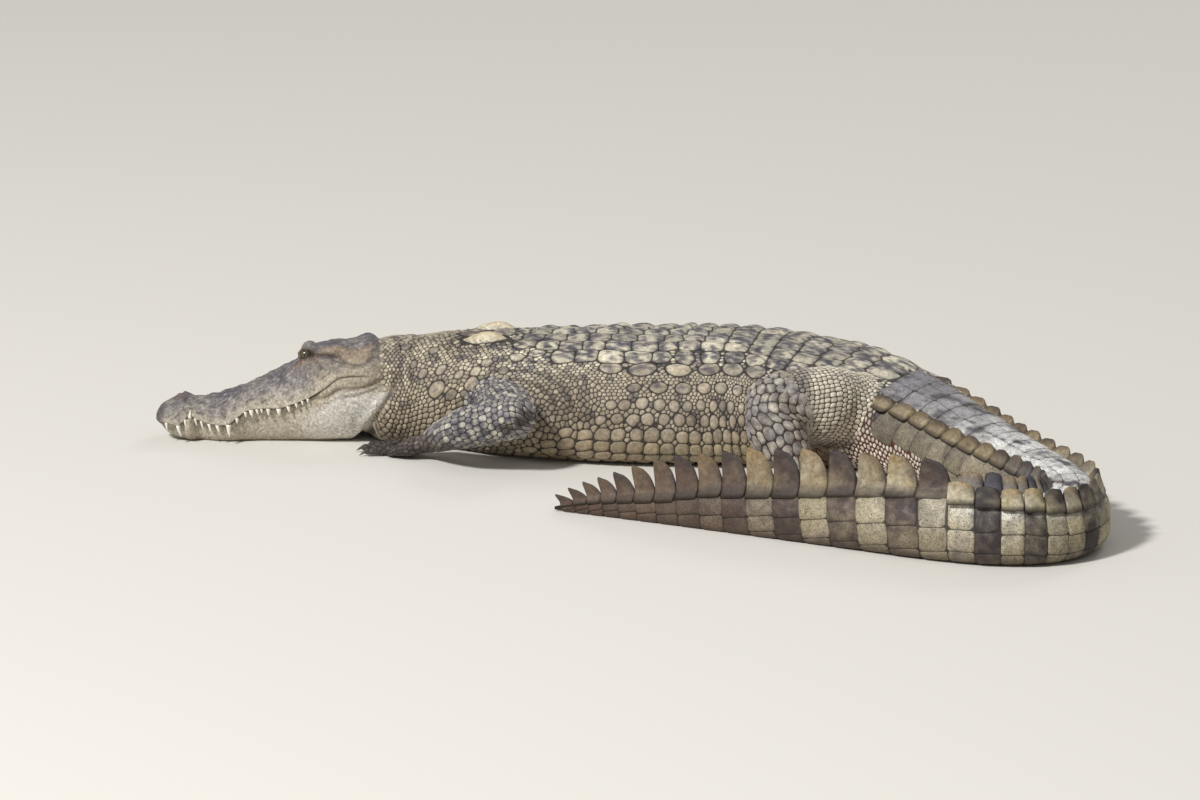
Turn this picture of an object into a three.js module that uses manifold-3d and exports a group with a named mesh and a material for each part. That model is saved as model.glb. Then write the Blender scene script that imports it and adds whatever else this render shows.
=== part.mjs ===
// A mugger crocodile (marsh crocodile, Crocodylus palustris) basking on its belly,
// life size, as a still museum model. The tail is swung round towards the animal's
// left side and lies back along it.
//
// Units are millimetres, +Z is up and the floor is the plane z = 0. The head points
// towards -X, the animal's left side faces -Y. All flesh is lofted along one line on
// the floor, the body line, which runs from the snout tip to the tail tip. A place on
// the animal is given as a distance along that line, an offset to the side (positive
// to the animal's right) and a height.

import * as THREE from 'three';
import { mergeVertices } from 'three/addons/utils/BufferGeometryUtils.js';
import Module from 'manifold-3d';

const wasm = await Module();
wasm.setup();

// ---------------------------------------------------------------- driving dimensions

const GAP = 0.3; // clear space between neighbouring solids
const SNOUT_TIP = [-822.35, 256.84]; // where the body line starts, x and y
const HEAD_LENGTH = 400; // snout tip to the back of the skull and jaws
const TAIL_START = 1365; // the vent, where the first tail whorl begins
const TAIL_END = 2986; // tip of the tail

// Heading of the body line in degrees, clockwise from +X seen from above.
const HEADING = [
  [0, -4], [400, -3], [500, 10], [640, 10], [760, 2], [960, 1], [1120, 17], [1370, 51],
  [1570, 64], [1800, 63], [1930, 76], [2020, 106], [2120, 168], [2210, 195], [2330, 205],
  [2480, 206], [TAIL_END, 203],
];

// Neck, trunk and tail: half width and height of the back above the floor.
const BODY_HALF_WIDTH = [
  [400, 104], [470, 108], [560, 133], [640, 168], [760, 204], [900, 226], [1050, 228],
  [1180, 208], [1290, 168], [1365, 130], [1470, 108], [1600, 95], [1800, 79],
  [2000, 67], [2200, 56], [2400, 43], [2600, 31], [2800, 17], [TAIL_END, 5],
];
const BODY_HEIGHT = [
  [400, 168], [470, 181], [560, 192], [640, 195], [850, 195], [1000, 193], [1115, 188],
  [1200, 181], [1290, 170], [1365, 158], [1470, 146], [1600, 134], [1800, 121],
  [2000, 112], [2200, 106], [2400, 92], [2600, 76], [2800, 50], [2900, 34], [TAIL_END, 9],
];
const WIDEST_AT = [[400, 0.42], [900, 0.4], [1365, 0.46], [1800, 0.45], [TAIL_END, 0.42]];
const BACK_POWER = 2.3; // superellipse exponent of every section above its widest place
const BELLY_POWER = 3.2; // and below it
const BELLY_SINK = [[400, 1.08], [560, 1.15], [1290, 1.15], [1470, 1.06], [TAIL_END, 1.05]];

// Tail whorls: one ring of scales each, with two crests first and one crest after.
const DOUBLE_WHORLS = 17;
const SINGLE_WHORLS = 18;
const DOUBLE_LENGTH = [50, 56]; // first and last whorl with two crests
const SINGLE_LENGTH = [59, 21]; // first and last whorl with one crest
const DOUBLE_CREST = [[1365, 12], [1700, 24], [2000, 33], [2266, 38]]; // height over the back
const SINGLE_CREST = [[2266, 62], [2400, 72], [2600, 70], [2710, 63], [2800, 49], [2986, 5]];
const CREST_LEAN = 0.1; // how far a crest tip leans back, in whorl lengths
const CREST_LOW = 0.58; // height of a crest scale's front, as a share of its tip

// Skull: half width at the lips, height of the midline, height of the mouth line.
const LIP_HALF_WIDTH = [
  [0, 9], [5, 24], [15, 36], [40, 47], [67, 41], [100, 54], [138, 64], [180, 65],
  [240, 76], [300, 92], [360, 105], [400, 105],
];
const SKULL_TOP = [
  [0, 47], [6, 60], [20, 70], [48, 77], [75, 77], [110, 86], [163, 105], [225, 136],
  [260, 152], [300, 158], [350, 160], [400, 164],
];
const MOUTH_LINE = [
  [0, 31], [25, 27], [42, 24], [67, 42], [80, 34], [105, 28], [135, 27], [152, 43],
  [177, 67], [225, 67], [250, 75], [281, 90], [306, 108], [332, 127], [400, 131],
];
const JAW_BOTTOM = [[9, 20], [25, 10], [45, 3], [80, -4], [335, -4], [368, 9], [400, -2]];
const JAW_SETBACK = 9; // the lower jaw stops this far behind the snout tip
const OVERBITE = 9.8; // the lower jaw's sides lie inside the upper lips by this much
const EYE = { s: 273, side: 42, z: 156, radius: 13.5 };

// Teeth of one side: distance from the snout tip, length and thickness at the gum.
const UPPER_TEETH = [
  [13, 8, 6], [25, 14, 8], [37, 15, 8], [50, 9, 6], [79, 8, 6], [91, 9, 6], [104, 10, 7],
  [118, 12, 8], [134, 17, 10], [152, 12, 8], [171, 10, 7], [192, 9, 7], [213, 9, 7],
];
const LOWER_TEETH = [[67, 20, 10]];

// ---------------------------------------------------------------- curves and frames

// Smooth value of a table of [place, value] at s: a cubic through the points whose
// slope at each point is that of the line between its neighbours.
function along(table, s) {
  const last = table.length - 1;
  if (s <= table[0][0]) return table[0][1];
  if (s >= table[last][0]) return table[last][1];
  let i = 0;
  while (table[i + 1][0] < s) i += 1;
  const slope = (k) => {
    const a = table[Math.max(k - 1, 0)];
    const b = table[Math.min(k + 1, last)];
    return (b[1] - a[1]) / (b[0] - a[0]);
  };
  const [x0, y0] = table[i];
  const [x1, y1] = table[i + 1];
  const h = x1 - x0;
  const t = (s - x0) / h;
  const bend0 = h * slope(i);
  const bend1 = h * slope(i + 1);
  return (2 * t ** 3 - 3 * t ** 2 + 1) * y0 + (t ** 3 - 2 * t ** 2 + t) * bend0
    + (3 * t ** 2 - 2 * t ** 3) * y1 + (t ** 3 - t ** 2) * bend1;
}

// The body line, walked in steps of 1 mm.
const bodyLine = [new THREE.Vector2(...SNOUT_TIP)];
for (let s = 0; s < TAIL_END + 10; s += 1) {
  const angle = THREE.MathUtils.degToRad(along(HEADING, s + 0.5));
  const step = new THREE.Vector2(Math.cos(angle), -Math.sin(angle));
  bodyLine.push(bodyLine[s].clone().add(step));
}

// World place of a point given by distance along the body line, side and height.
function place(s, side, z) {
  const clamped = Math.min(Math.max(s, 0), TAIL_END + 9);
  const i = Math.floor(clamped);
  const base = bodyLine[i].clone().lerp(bodyLine[i + 1], clamped - i);
  const angle = THREE.MathUtils.degToRad(along(HEADING, s));
  const over = s - clamped;
  return new THREE.Vector3(
    base.x + over * Math.cos(angle) + side * Math.sin(angle),
    base.y - over * Math.sin(angle) + side * Math.cos(angle),
    z,
  );
}

const signedPower = (value, power) => Math.sign(value) * Math.abs(value) ** power;

// ---------------------------------------------------------------- solids from rings

// A closed solid from rings of equally many points, each ring running anticlockwise
// when seen from the far end. Both ends are closed by a fan about the ring's centre.
function loft(rings) {
  const count = rings[0].length;
  const positions = [];
  const triangles = [];
  rings.forEach((ring) => ring.forEach((p) => positions.push(p.x, p.y, p.z)));
  for (let r = 0; r < rings.length - 1; r += 1) {
    for (let k = 0; k < count; k += 1) {
      const a = r * count + k;
      const b = r * count + ((k + 1) % count);
      triangles.push(a, b, b + count, a, b + count, a + count);
    }
  }
  [0, rings.length - 1].forEach((r) => {
    const centre = new THREE.Vector3();
    rings[r].forEach((p) => centre.addScaledVector(p, 1 / count));
    const hub = positions.length / 3;
    positions.push(centre.x, centre.y, centre.z);
    for (let k = 0; k < count; k += 1) {
      const a = r * count + k;
      const b = r * count + ((k + 1) % count);
      triangles.push(...(r === 0 ? [b, a, hub] : [a, b, hub]));
    }
  });
  const geometry = new THREE.BufferGeometry();
  geometry.setAttribute('position', new THREE.Float32BufferAttribute(positions, 3));
  geometry.setIndex(triangles);
  return geometry;
}

function solid(geometry) {
  const clean = geometry.clone();
  clean.deleteAttribute('normal');
  clean.deleteAttribute('uv');
  const merged = mergeVertices(clean, 1e-4);
  return new wasm.Manifold(new wasm.Mesh({
    numProp: 3,
    vertProperties: new Float32Array(merged.attributes.position.array),
    triVerts: new Uint32Array(merged.index.array),
  }));
}

// The geometry of a cut solid's main piece, without the chips a cut can leave.
function geometryOf(manifold) {
  const pieces = manifold.decompose();
  const main = pieces.reduce((a, b) => (b.volume() > a.volume() ? b : a));
  const mesh = main.getMesh();
  const geometry = new THREE.BufferGeometry();
  geometry.setAttribute('position', new THREE.Float32BufferAttribute(mesh.vertProperties, 3));
  geometry.setIndex([...mesh.triVerts]);
  return geometry;
}

// ---------------------------------------------------------------- neck, trunk and tail

// One section of the body at s, grown outwards by grow. Points run from the belly's
// midline up the right side, over the back and down the left side.
function bodyRing(s, count, grow = 0) {
  const halfWidth = along(BODY_HALF_WIDTH, s) + grow;
  const height = along(BODY_HEIGHT, s) + grow;
  const middle = along(BODY_HEIGHT, s) * along(WIDEST_AT, s);
  const floor = grow > 0 ? -5 : 0;
  const ring = [];
  for (let k = 0; k < count; k += 1) {
    const t = (2 * Math.PI * k) / count - Math.PI / 2;
    const isBack = Math.sin(t) > 0;
    const power = 2 / (isBack ? BACK_POWER : BELLY_POWER);
    const reach = isBack ? height - middle : middle * along(BELLY_SINK, s) + grow;
    const side = halfWidth * signedPower(Math.cos(t), power);
    const z = middle + reach * signedPower(Math.sin(t), power);
    ring.push(place(s, side, Math.max(z, floor)));
  }
  return ring;
}

// Places between two cuts, about step apart, with a gap's half kept clear at each end.
function stationsBetween(from, to, step) {
  const steps = Math.max(1, Math.round((to - from) / step));
  const places = [];
  for (let i = 0; i <= steps; i += 1) {
    places.push(from + GAP / 2 + ((to - from - GAP) * i) / steps);
  }
  return places;
}

const bodyLoft = (places, count, grow = 0) => loft(places.map((s) => bodyRing(s, count, grow)));

// The tail's whorls in order: where each starts, its length, crest height and crests.
function listWhorls() {
  const whorls = [];
  let s = TAIL_START;
  const add = (count, lengths, crests, single) => {
    for (let i = 0; i < count; i += 1) {
      const length = THREE.MathUtils.lerp(...lengths, i / (count - 1));
      whorls.push({ s, length, crest: along(crests, s + length), single });
      s += length;
    }
  };
  add(DOUBLE_WHORLS, DOUBLE_LENGTH, DOUBLE_CREST, false);
  add(SINGLE_WHORLS, SINGLE_LENGTH, SINGLE_CREST, true);
  return whorls;
}

// A tail section with its crest scales: the points either side of the top one carry
// the double crest, the top point the single one.
const TAIL_SIDES = 14;
function tailRing(s, whorl, crestShare, lean, grow) {
  const ring = bodyRing(s, TAIL_SIDES, grow);
  const height = along(BODY_HEIGHT, s);
  const halfWidth = along(BODY_HALF_WIDTH, s);
  const top = TAIL_SIDES / 2;
  const rise = whorl.crest * crestShare;
  if (whorl.single) {
    ring[top] = place(s + lean, 0, height + rise);
    [-1, 1].forEach((way) => {
      ring[top - way] = place(s, way * halfWidth * 0.3, height * 0.97);
    });
  } else {
    [-1, 1].forEach((way) => {
      ring[top - way] = place(s + lean, way * halfWidth * 0.6, height * 0.93 + rise);
      ring[top - 2 * way] = place(s, way * halfWidth * 0.84, height * 0.8);
    });
    ring[top] = place(s, 0, height * 0.97);
  }
  return ring;
}

function tailLength(whorls, grow = 0) {
  const rings = [];
  whorls.forEach((whorl, i) => {
    const { s, length } = whorl;
    const last = i === whorls.length - 1;
    const lean = CREST_LEAN * length * (last ? 0.4 : 1);
    rings.push(tailRing(s + (i === 0 ? GAP / 2 : 0.05 * length), whorl, CREST_LOW, 0, grow));
    rings.push(tailRing(s + 0.9 * length, whorl, 1, lean, grow));
    if (last) rings.push(tailRing(s + length - GAP / 2, whorl, CREST_LOW, 0, grow));
  });
  return loft(rings);
}

// ---------------------------------------------------------------- skull and lower jaw

const bump = (value, centre, width) => Math.exp(-(((value - centre) / width) ** 2));
const ramp = (value, from, to) => THREE.MathUtils.smoothstep(value, from, to);

// Relief of the head's upper side: nostril knob, ridges along the snout, brows and
// the flat table over the back of the skull.
function headRelief(s, side) {
  const away = Math.abs(side);
  const nostrils = 9 * bump(s, 46, 17) * bump(away, 12, 12);
  const ridges = 4 * ramp(s, 110, 190) * (1 - ramp(s, 225, 255)) * bump(away, 34, 14);
  const brows = 19 * bump(s, 276, 26) * bump(away, 41, 16);
  const table = 14 * ramp(s, 292, 312) * (1 - ramp(s, 384, 400)) * (1 - ramp(away, 48, 62));
  return nostrils + ridges + brows + table;
}

const SKULL_SIDES = 16;
function skullRing(s) {
  const halfWidth = along(LIP_HALF_WIDTH, s);
  const mouth = along(MOUTH_LINE, s) + GAP / 2;
  const top = along(SKULL_TOP, s);
  const power = 2 / THREE.MathUtils.lerp(2.5, 2.1, ramp(s, 200, 320));
  const ring = [];
  for (let k = 0; k < SKULL_SIDES; k += 1) {
    const t = (Math.PI * k) / (SKULL_SIDES - 1);
    const side = halfWidth * signedPower(Math.cos(t), power);
    const z = mouth + (top - mouth) * Math.sin(t) ** power + headRelief(s, side);
    ring.push(place(s, side, k === 0 || k === SKULL_SIDES - 1 ? mouth : z));
  }
  return ring;
}

const JAW_SIDES = 11;
function jawRing(s) {
  const tusk = 1.8 * bump(s, LOWER_TEETH[0][0], 9); // the jaw swells to carry its tusk
  const inset = OVERBITE * (1 - ramp(s, 235, 330)) * (1 - tusk);
  const lip = Math.min(along(LIP_HALF_WIDTH, s), along(LIP_HALF_WIDTH, s - JAW_SETBACK));
  const halfWidth = Math.max(lip - inset, 4);
  const mouth = along(MOUTH_LINE, s) - GAP / 2;
  const bottom = along(JAW_BOTTOM, s);
  const ring = [];
  for (let k = 0; k < JAW_SIDES; k += 1) {
    const t = (Math.PI * k) / (JAW_SIDES - 1);
    const side = -halfWidth * signedPower(Math.cos(t), 0.8);
    const z = mouth - (mouth - bottom) * Math.sin(t) ** 0.75;
    ring.push(place(s, side, Math.max(z, 0)));
  }
  return ring;
}

// The places where skull and jaw both have a section, so that they meet all along the
// mouth. They stand closer together towards the snout tip.
const HEAD_STEPS = 22;
const headPlaces = Array.from({ length: HEAD_STEPS + 1 }, (_, i) => {
  const share = i / HEAD_STEPS;
  return HEAD_LENGTH * (0.3 * share ** 2 + 0.7 * share);
});
const jawPlaces = [JAW_SETBACK, ...headPlaces.filter((s) => s > JAW_SETBACK + 4)];

// A tooth: a slender cone with its root in the gum, pointing down or up.
function tooth(s, side, gum, length, width, down) {
  const way = down ? -1 : 1;
  const root = length * 0.7;
  const cone = new THREE.ConeGeometry(width * 0.64, length + root, 4);
  cone.translate(0, (length + root) / 2 - root, 0);
  cone.rotateX((way * Math.PI) / 2);
  const spot = place(s, side, gum);
  cone.translate(spot.x, spot.y, spot.z);
  return solid(cone);
}

// A jaw's solid with its teeth of both sides.
function withTeeth(body, teeth, down) {
  let result = body;
  teeth.forEach(([s, length, width]) => {
    [-1, 1].forEach((way) => {
      const lip = along(LIP_HALF_WIDTH, s);
      const inward = down ? 0.4 * width : -0.56 * width;
      const gum = along(MOUTH_LINE, s) + (down ? 1 : -2);
      result = result.add(tooth(s, way * (lip - inward), gum, length, width, down));
    });
  });
  return result;
}

// ---------------------------------------------------------------- limbs

// Rings of an elliptical tube through stations of centre, direction and two radii.
function tubeRings(stations, sides, grow) {
  const floor = grow > 0 ? -5 : 0;
  return stations.map(({ centre, forward, across, up }) => {
    const upright = new THREE.Vector3(0, 0, 1);
    if (Math.abs(forward.z) > 0.85) upright.set(-1, 0, 0);
    const sideways = new THREE.Vector3().crossVectors(upright, forward).normalize();
    const upwards = new THREE.Vector3().crossVectors(forward, sideways);
    const ring = [];
    for (let k = 0; k < sides; k += 1) {
      const t = (2 * Math.PI * k) / sides;
      const p = centre.clone().addScaledVector(sideways, across * Math.cos(t));
      p.addScaledVector(upwards, up * Math.sin(t));
      p.z = Math.max(p.z, floor);
      ring.push(p);
    }
    return ring;
  });
}

// A limb length: a tube with round ends through joints given as a point, a radius
// across and a radius up. It is kept above the floor and grown outwards by grow.
const ROUND_END = { reach: 0.74, share: 0.67 }; // the ring that rounds an end, in radii
function limb(joints, { steps = 4, sides = 11, grow = 0 } = {}) {
  const path = new THREE.CatmullRomCurve3(joints.map(({ point }) => point));
  const last = joints.length - 1;
  const stationAt = (u, beyond, share) => {
    const forward = path.getTangent(u);
    const spot = u * last;
    const j = Math.min(Math.floor(spot), last - 1);
    const size = (key) => grow
      + share * THREE.MathUtils.lerp(joints[j][key], joints[j + 1][key], spot - j);
    const reach = beyond + Math.sign(beyond) * grow;
    const centre = path.getPoint(u).addScaledVector(forward, reach);
    return { centre, forward, across: size('across'), up: size('up') };
  };
  const { reach: rounding, share: narrowing } = ROUND_END;
  const stations = [stationAt(0, -rounding * joints[0].across, narrowing)];
  for (let i = 0; i <= steps; i += 1) stations.push(stationAt(i / steps, 0, 1));
  stations.push(stationAt(1, rounding * joints[last].across, narrowing));
  return solid(loft(tubeRings(stations, sides, grow)));
}

const toJoints = (table) => table.map(([s, side, z, across, up]) => (
  { point: place(s, side, z), across, up }));

// Each leg: its upper and lower length and its paw as joints of [distance along the
// body line, side, height, radius across, radius up], and its digits as [turn in
// degrees from the paw's own line, length]. The first three digits have claws.
const LEGS = {
  left_front: {
    names: ['left_upper_arm', 'left_forearm', 'left_hand'],
    upper: [[616, -112, 90, 46, 50], [658, -190, 104, 45, 46], [678, -230, 104, 41, 42]],
    lower: [[679, -249, 104, 41, 43], [600, -236, 74, 37, 36], [528, -172, 33, 25, 22]],
    paw: [[522, -176, 30, 22, 20], [478, -167, 18, 31, 16], [452, -159, 12, 30, 11]],
    digits: [[38, 58], [14, 70], [-8, 72], [-30, 62], [-62, 48]],
  },
  right_front: {
    names: ['right_upper_arm', 'right_forearm', 'right_hand'],
    upper: [[600, 112, 98, 50, 54], [640, 196, 92, 48, 48], [666, 240, 82, 42, 42]],
    lower: [[668, 262, 76, 40, 40], [604, 268, 54, 37, 34], [528, 248, 30, 25, 21]],
    paw: [[522, 247, 28, 22, 20], [480, 252, 17, 32, 16], [454, 256, 12, 31, 11]],
    digits: [[-38, 58], [-14, 70], [8, 72], [30, 62], [62, 48]],
  },
  left_hind: {
    names: ['left_thigh', 'left_shank', 'left_foot'],
    upper: [[1322, -78, 102, 66, 72], [1318, -150, 120, 70, 72], [1285, -212, 134, 60, 60]],
    lower: [[1270, -240, 132, 59, 58], [1326, -262, 92, 56, 54], [1420, -262, 38, 31, 28]],
    paw: [[1432, -266, 32, 28, 24], [1456, -318, 20, 34, 18], [1470, -366, 12, 38, 12]],
    digits: [[30, 84], [8, 98], [-14, 98], [-38, 80]],
  },
  right_hind: {
    names: ['right_thigh', 'right_shank', 'right_foot'],
    upper: [[1290, 84, 84, 62, 66], [1235, 175, 76, 62, 60], [1160, 250, 70, 52, 50]],
    lower: [[1150, 276, 64, 49, 48], [1200, 300, 52, 42, 40], [1255, 300, 34, 28, 27]],
    paw: [[1262, 304, 30, 26, 23], [1240, 352, 19, 34, 17], [1214, 390, 12, 38, 12]],
    digits: [[-30, 84], [-8, 98], [14, 98], [38, 80]],
  },
};
const CLAWED_DIGITS = 3;
const CLAW = { length: 19, radius: 4.2, tilt: 22, height: 10 };
const DIGIT = [[0, 12, 11], [1, 9, 7]]; // share of length, height, radius

function digit(knuckle, heading, length) {
  const joints = DIGIT.map(([share, z, radius]) => {
    const point = knuckle.clone().addScaledVector(heading, length * share).setZ(z);
    return { point, across: radius, up: radius };
  });
  return limb(joints, { steps: 1, sides: 5 });
}

function claw(knuckle, heading, length, grow = 0) {
  const cone = new THREE.ConeGeometry(CLAW.radius + grow, CLAW.length + 4 * grow, 6);
  cone.translate(0, CLAW.length / 2, 0);
  const tilt = THREE.MathUtils.degToRad(CLAW.tilt);
  const direction = heading.clone().multiplyScalar(Math.cos(tilt)).setZ(-Math.sin(tilt));
  const turn = new THREE.Quaternion();
  turn.setFromUnitVectors(new THREE.Vector3(0, 1, 0), direction.normalize());
  cone.applyQuaternion(turn);
  const root = knuckle.clone().addScaledVector(heading, length - 2).setZ(CLAW.height);
  cone.translate(root.x, root.y, root.z);
  return cone;
}

// ---------------------------------------------------------------- the model

const HIDE = new THREE.MeshStandardMaterial({ color: 0x8d806f, roughness: 0.8 });
const JAW_HIDE = new THREE.MeshStandardMaterial({ color: 0xb3ac9c, roughness: 0.7 });
const LEG_HIDE = new THREE.MeshStandardMaterial({ color: 0x7f7876, roughness: 0.8 });
const TAIL_HIDE = new THREE.MeshStandardMaterial({ color: 0x7c6c61, roughness: 0.75 });
const EYE_WET = new THREE.MeshStandardMaterial({ color: 0x5f4f3e, roughness: 0.1 });
const CLAW_HORN = new THREE.MeshStandardMaterial({ color: 0x2b2522, roughness: 0.45 });

const crocodile = new THREE.Group();

function addPart(name, geometry, material) {
  const mesh = new THREE.Mesh(geometry, material);
  mesh.name = name;
  crocodile.add(mesh);
}

// Head: the skull carries the upper teeth and the lower jaw its own.
const eyeball = (way, grow) => {
  const ball = new THREE.SphereGeometry(EYE.radius + grow, 10, 7);
  const spot = place(EYE.s, way * EYE.side, EYE.z);
  ball.translate(spot.x, spot.y, spot.z);
  return ball;
};
let skull = withTeeth(solid(loft(headPlaces.map(skullRing))), UPPER_TEETH, true);
const lowerJaw = withTeeth(solid(loft(jawPlaces.map(jawRing))), LOWER_TEETH, false);
[-1, 1].forEach((way) => {
  skull = skull.subtract(solid(eyeball(way, GAP)));
  addPart(way < 0 ? 'left_eye' : 'right_eye', eyeball(way, 0), EYE_WET);
});
addPart('skull', geometryOf(skull), JAW_HIDE);
addPart('lower_jaw', geometryOf(lowerJaw), JAW_HIDE);

// Neck and trunk.
const TRUNK_SIDES = 21;
const TRUNK_STEP = 58;
const TRUNK_CUTS = [
  ['neck', HEAD_LENGTH, 575], ['chest', 575, 800], ['belly', 800, 1090],
  ['pelvis', 1090, TAIL_START],
];
const trunkPlaces = [];
TRUNK_CUTS.forEach(([name, from, to]) => {
  const places = stationsBetween(from, to, TRUNK_STEP);
  addPart(name, bodyLoft(places, TRUNK_SIDES), HIDE);
  trunkPlaces.push(...places);
});

// Tail, in lengths of a few whorls each.
const whorls = listWhorls();
const TAIL_CUTS = [0, 5, 9, 13, 17, 23, 29, 35];
TAIL_CUTS.slice(1).forEach((end, i) => {
  addPart(`tail_${i + 1}`, tailLength(whorls.slice(TAIL_CUTS[i], end)), TAIL_HIDE);
});

// Legs: each length is cut back where the next one or the trunk takes its place.
const BODY_CLEARANCE = 0.8; // the legs keep this far from the trunk and the tail's base
const trunkGrown = solid(bodyLoft([...trunkPlaces, TAIL_START + 1], TRUNK_SIDES, BODY_CLEARANCE));
const baseWhorls = whorls.slice(TAIL_CUTS[0], TAIL_CUTS[1]);
const baseGrown = solid(tailLength(baseWhorls, BODY_CLEARANCE));
const bodyGrown = trunkGrown.add(baseGrown);
const PAW_SHAPE = { steps: 3, sides: 8 };
Object.entries(LEGS).forEach(([leg, { names, upper, lower, paw, digits }]) => {
  const [upperJoints, lowerJoints, pawJoints] = [upper, lower, paw].map(toJoints);
  const upperPart = limb(upperJoints).subtract(limb(lowerJoints, { grow: GAP }));
  addPart(names[0], geometryOf(upperPart.subtract(bodyGrown)), LEG_HIDE);
  const lowerPart = limb(lowerJoints).subtract(limb(pawJoints, { ...PAW_SHAPE, grow: GAP }));
  addPart(names[1], geometryOf(lowerPart.subtract(bodyGrown)), LEG_HIDE);

  const knuckle = pawJoints[2].point.clone();
  const ahead = knuckle.clone().sub(pawJoints[1].point).setZ(0).normalize();
  let pawPart = limb(pawJoints, PAW_SHAPE);
  digits.forEach(([turn, length], i) => {
    const heading = ahead.clone();
    heading.applyAxisAngle(new THREE.Vector3(0, 0, 1), THREE.MathUtils.degToRad(turn));
    pawPart = pawPart.add(digit(knuckle, heading, length));
    if (i < CLAWED_DIGITS) {
      pawPart = pawPart.subtract(solid(claw(knuckle, heading, length, GAP)));
      addPart(`${leg}_claw_${i + 1}`, claw(knuckle, heading, length), CLAW_HORN);
    }
  });
  addPart(names[2], geometryOf(pawPart), LEG_HIDE);
});

export default crocodile;
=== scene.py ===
"""A marsh crocodile resting on its belly, as a life-size still museum model.

One skin covers the flesh, on the same body line and sections as the solids, and the scales are
solid plates that stand on it. Sizes are in millimetres until a mesh is made, in metres there.
The head points along -X, the animal's left side faces -Y and the floor is z = 0.

A place on the body is (s, q): s is the distance along the body line from the snout tip, and q is
the share of the way from the back's midline (0) to the belly's, -1 by the left side and 1 by the
right. Distances round the body from the back's midline are called d.
"""

from __future__ import annotations

import logging
import math
from dataclasses import dataclass, field, replace
from enum import Enum

import bpy
import numpy as np
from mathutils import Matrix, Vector

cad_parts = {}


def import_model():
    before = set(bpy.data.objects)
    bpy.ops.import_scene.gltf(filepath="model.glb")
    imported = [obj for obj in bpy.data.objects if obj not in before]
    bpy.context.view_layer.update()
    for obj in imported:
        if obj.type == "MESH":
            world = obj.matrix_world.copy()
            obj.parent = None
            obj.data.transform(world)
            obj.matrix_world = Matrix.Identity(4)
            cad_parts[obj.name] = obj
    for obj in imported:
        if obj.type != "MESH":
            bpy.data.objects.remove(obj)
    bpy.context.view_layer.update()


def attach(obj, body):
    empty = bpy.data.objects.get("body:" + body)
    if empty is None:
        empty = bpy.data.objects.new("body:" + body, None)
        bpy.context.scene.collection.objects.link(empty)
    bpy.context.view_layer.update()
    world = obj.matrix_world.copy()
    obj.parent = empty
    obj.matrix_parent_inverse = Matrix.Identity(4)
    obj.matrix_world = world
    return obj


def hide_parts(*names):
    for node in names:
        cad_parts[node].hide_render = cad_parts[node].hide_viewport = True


LOG = logging.getLogger("crocodile")
MM = 0.001
Array = np.ndarray
Pair = tuple[float, float]
Piece = bpy.types.Object
Node = bpy.types.Node
Rng = np.random.Generator


# ------------------------------------------------------------------ curves and small fields


class Curve:
    """A smooth table of values: a cubic through the points, with their neighbours' slopes."""

    def __init__(self, *points: Pair) -> None:
        """Keeps the points and the slope at each.

        Args:
            points: pairs of place and value, in rising places.
        """
        self.x = np.array([p[0] for p in points], float)
        self.y = np.array([p[1] for p in points], float)
        before = np.maximum(np.arange(len(points)) - 1, 0)
        after = np.minimum(np.arange(len(points)) + 1, len(points) - 1)
        self.slope = (self.y[after] - self.y[before]) / (self.x[after] - self.x[before])

    def __call__(self, place: Array | float) -> Array:
        """Value at each place; the end values hold beyond the ends.

        Args:
            place: one place or an array of them.

        Returns:
            The Hermite cubic h00*y0 + h10*h*m0 + h01*y1 + h11*h*m1 of the points either side.
        """
        s = np.clip(np.asarray(place, float), self.x[0], self.x[-1])
        i = np.clip(np.searchsorted(self.x, s, side="left") - 1, 0, len(self.x) - 2)
        h = self.x[i + 1] - self.x[i]
        t = (s - self.x[i]) / h
        return ((2 * t**3 - 3 * t**2 + 1) * self.y[i] + (t**3 - 2 * t**2 + t) * h * self.slope[i]
            + (3 * t**2 - 2 * t**3) * self.y[i + 1] + (t**3 - t**2) * h * self.slope[i + 1])


def bump(value: Array, centre: Array | float, width: Array | float) -> Array:
    """A bell of height 1 at the centre, exp(-((value - centre) / width)^2)."""
    return np.exp(-(((value - centre) / width) ** 2))


def ramp(value: Array, start: Array | float, end: Array | float) -> Array:
    """A smooth step from 0 at start to 1 at end, 3t^2 - 2t^3."""
    t = np.clip((value - start) / (end - start), 0, 1)
    return t * t * (3 - 2 * t)


def mix(a: Array | float, b: Array | float, share: Array | float) -> Array:
    """The value a share of the way from a to b."""
    return a + (b - a) * share


def signed_power(value: Array, power: Array | float) -> Array:
    """The value's size to a power, with its own sign."""
    return np.sign(value) * np.abs(value) ** power


def unit(vectors: Array) -> Array:
    """The vectors at length 1, along the last axis."""
    return vectors / np.maximum(np.linalg.norm(vectors, axis=-1, keepdims=True), 1e-9)


def ripple(points: Array, size: float, seed: int) -> Array:
    """Smooth random relief from -1 to 1: the mean of eight sine waves in random directions.

    Args:
        points: places in millimetres, (..., k).
        size: the waves' typical length in millimetres.
        seed: which relief.

    Returns:
        The relief at each place.
    """
    rng = np.random.default_rng(seed)
    waves = unit(rng.normal(size=(8, points.shape[-1]))) * rng.uniform(0.7, 1.5, (8, 1))
    phase = rng.uniform(0, 2 * math.pi, 8)
    return np.sin(points @ (waves.T * (2 * math.pi / size)) + phase).mean(-1) * 1.9


# ------------------------------------------------------------------ the body plan


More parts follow.
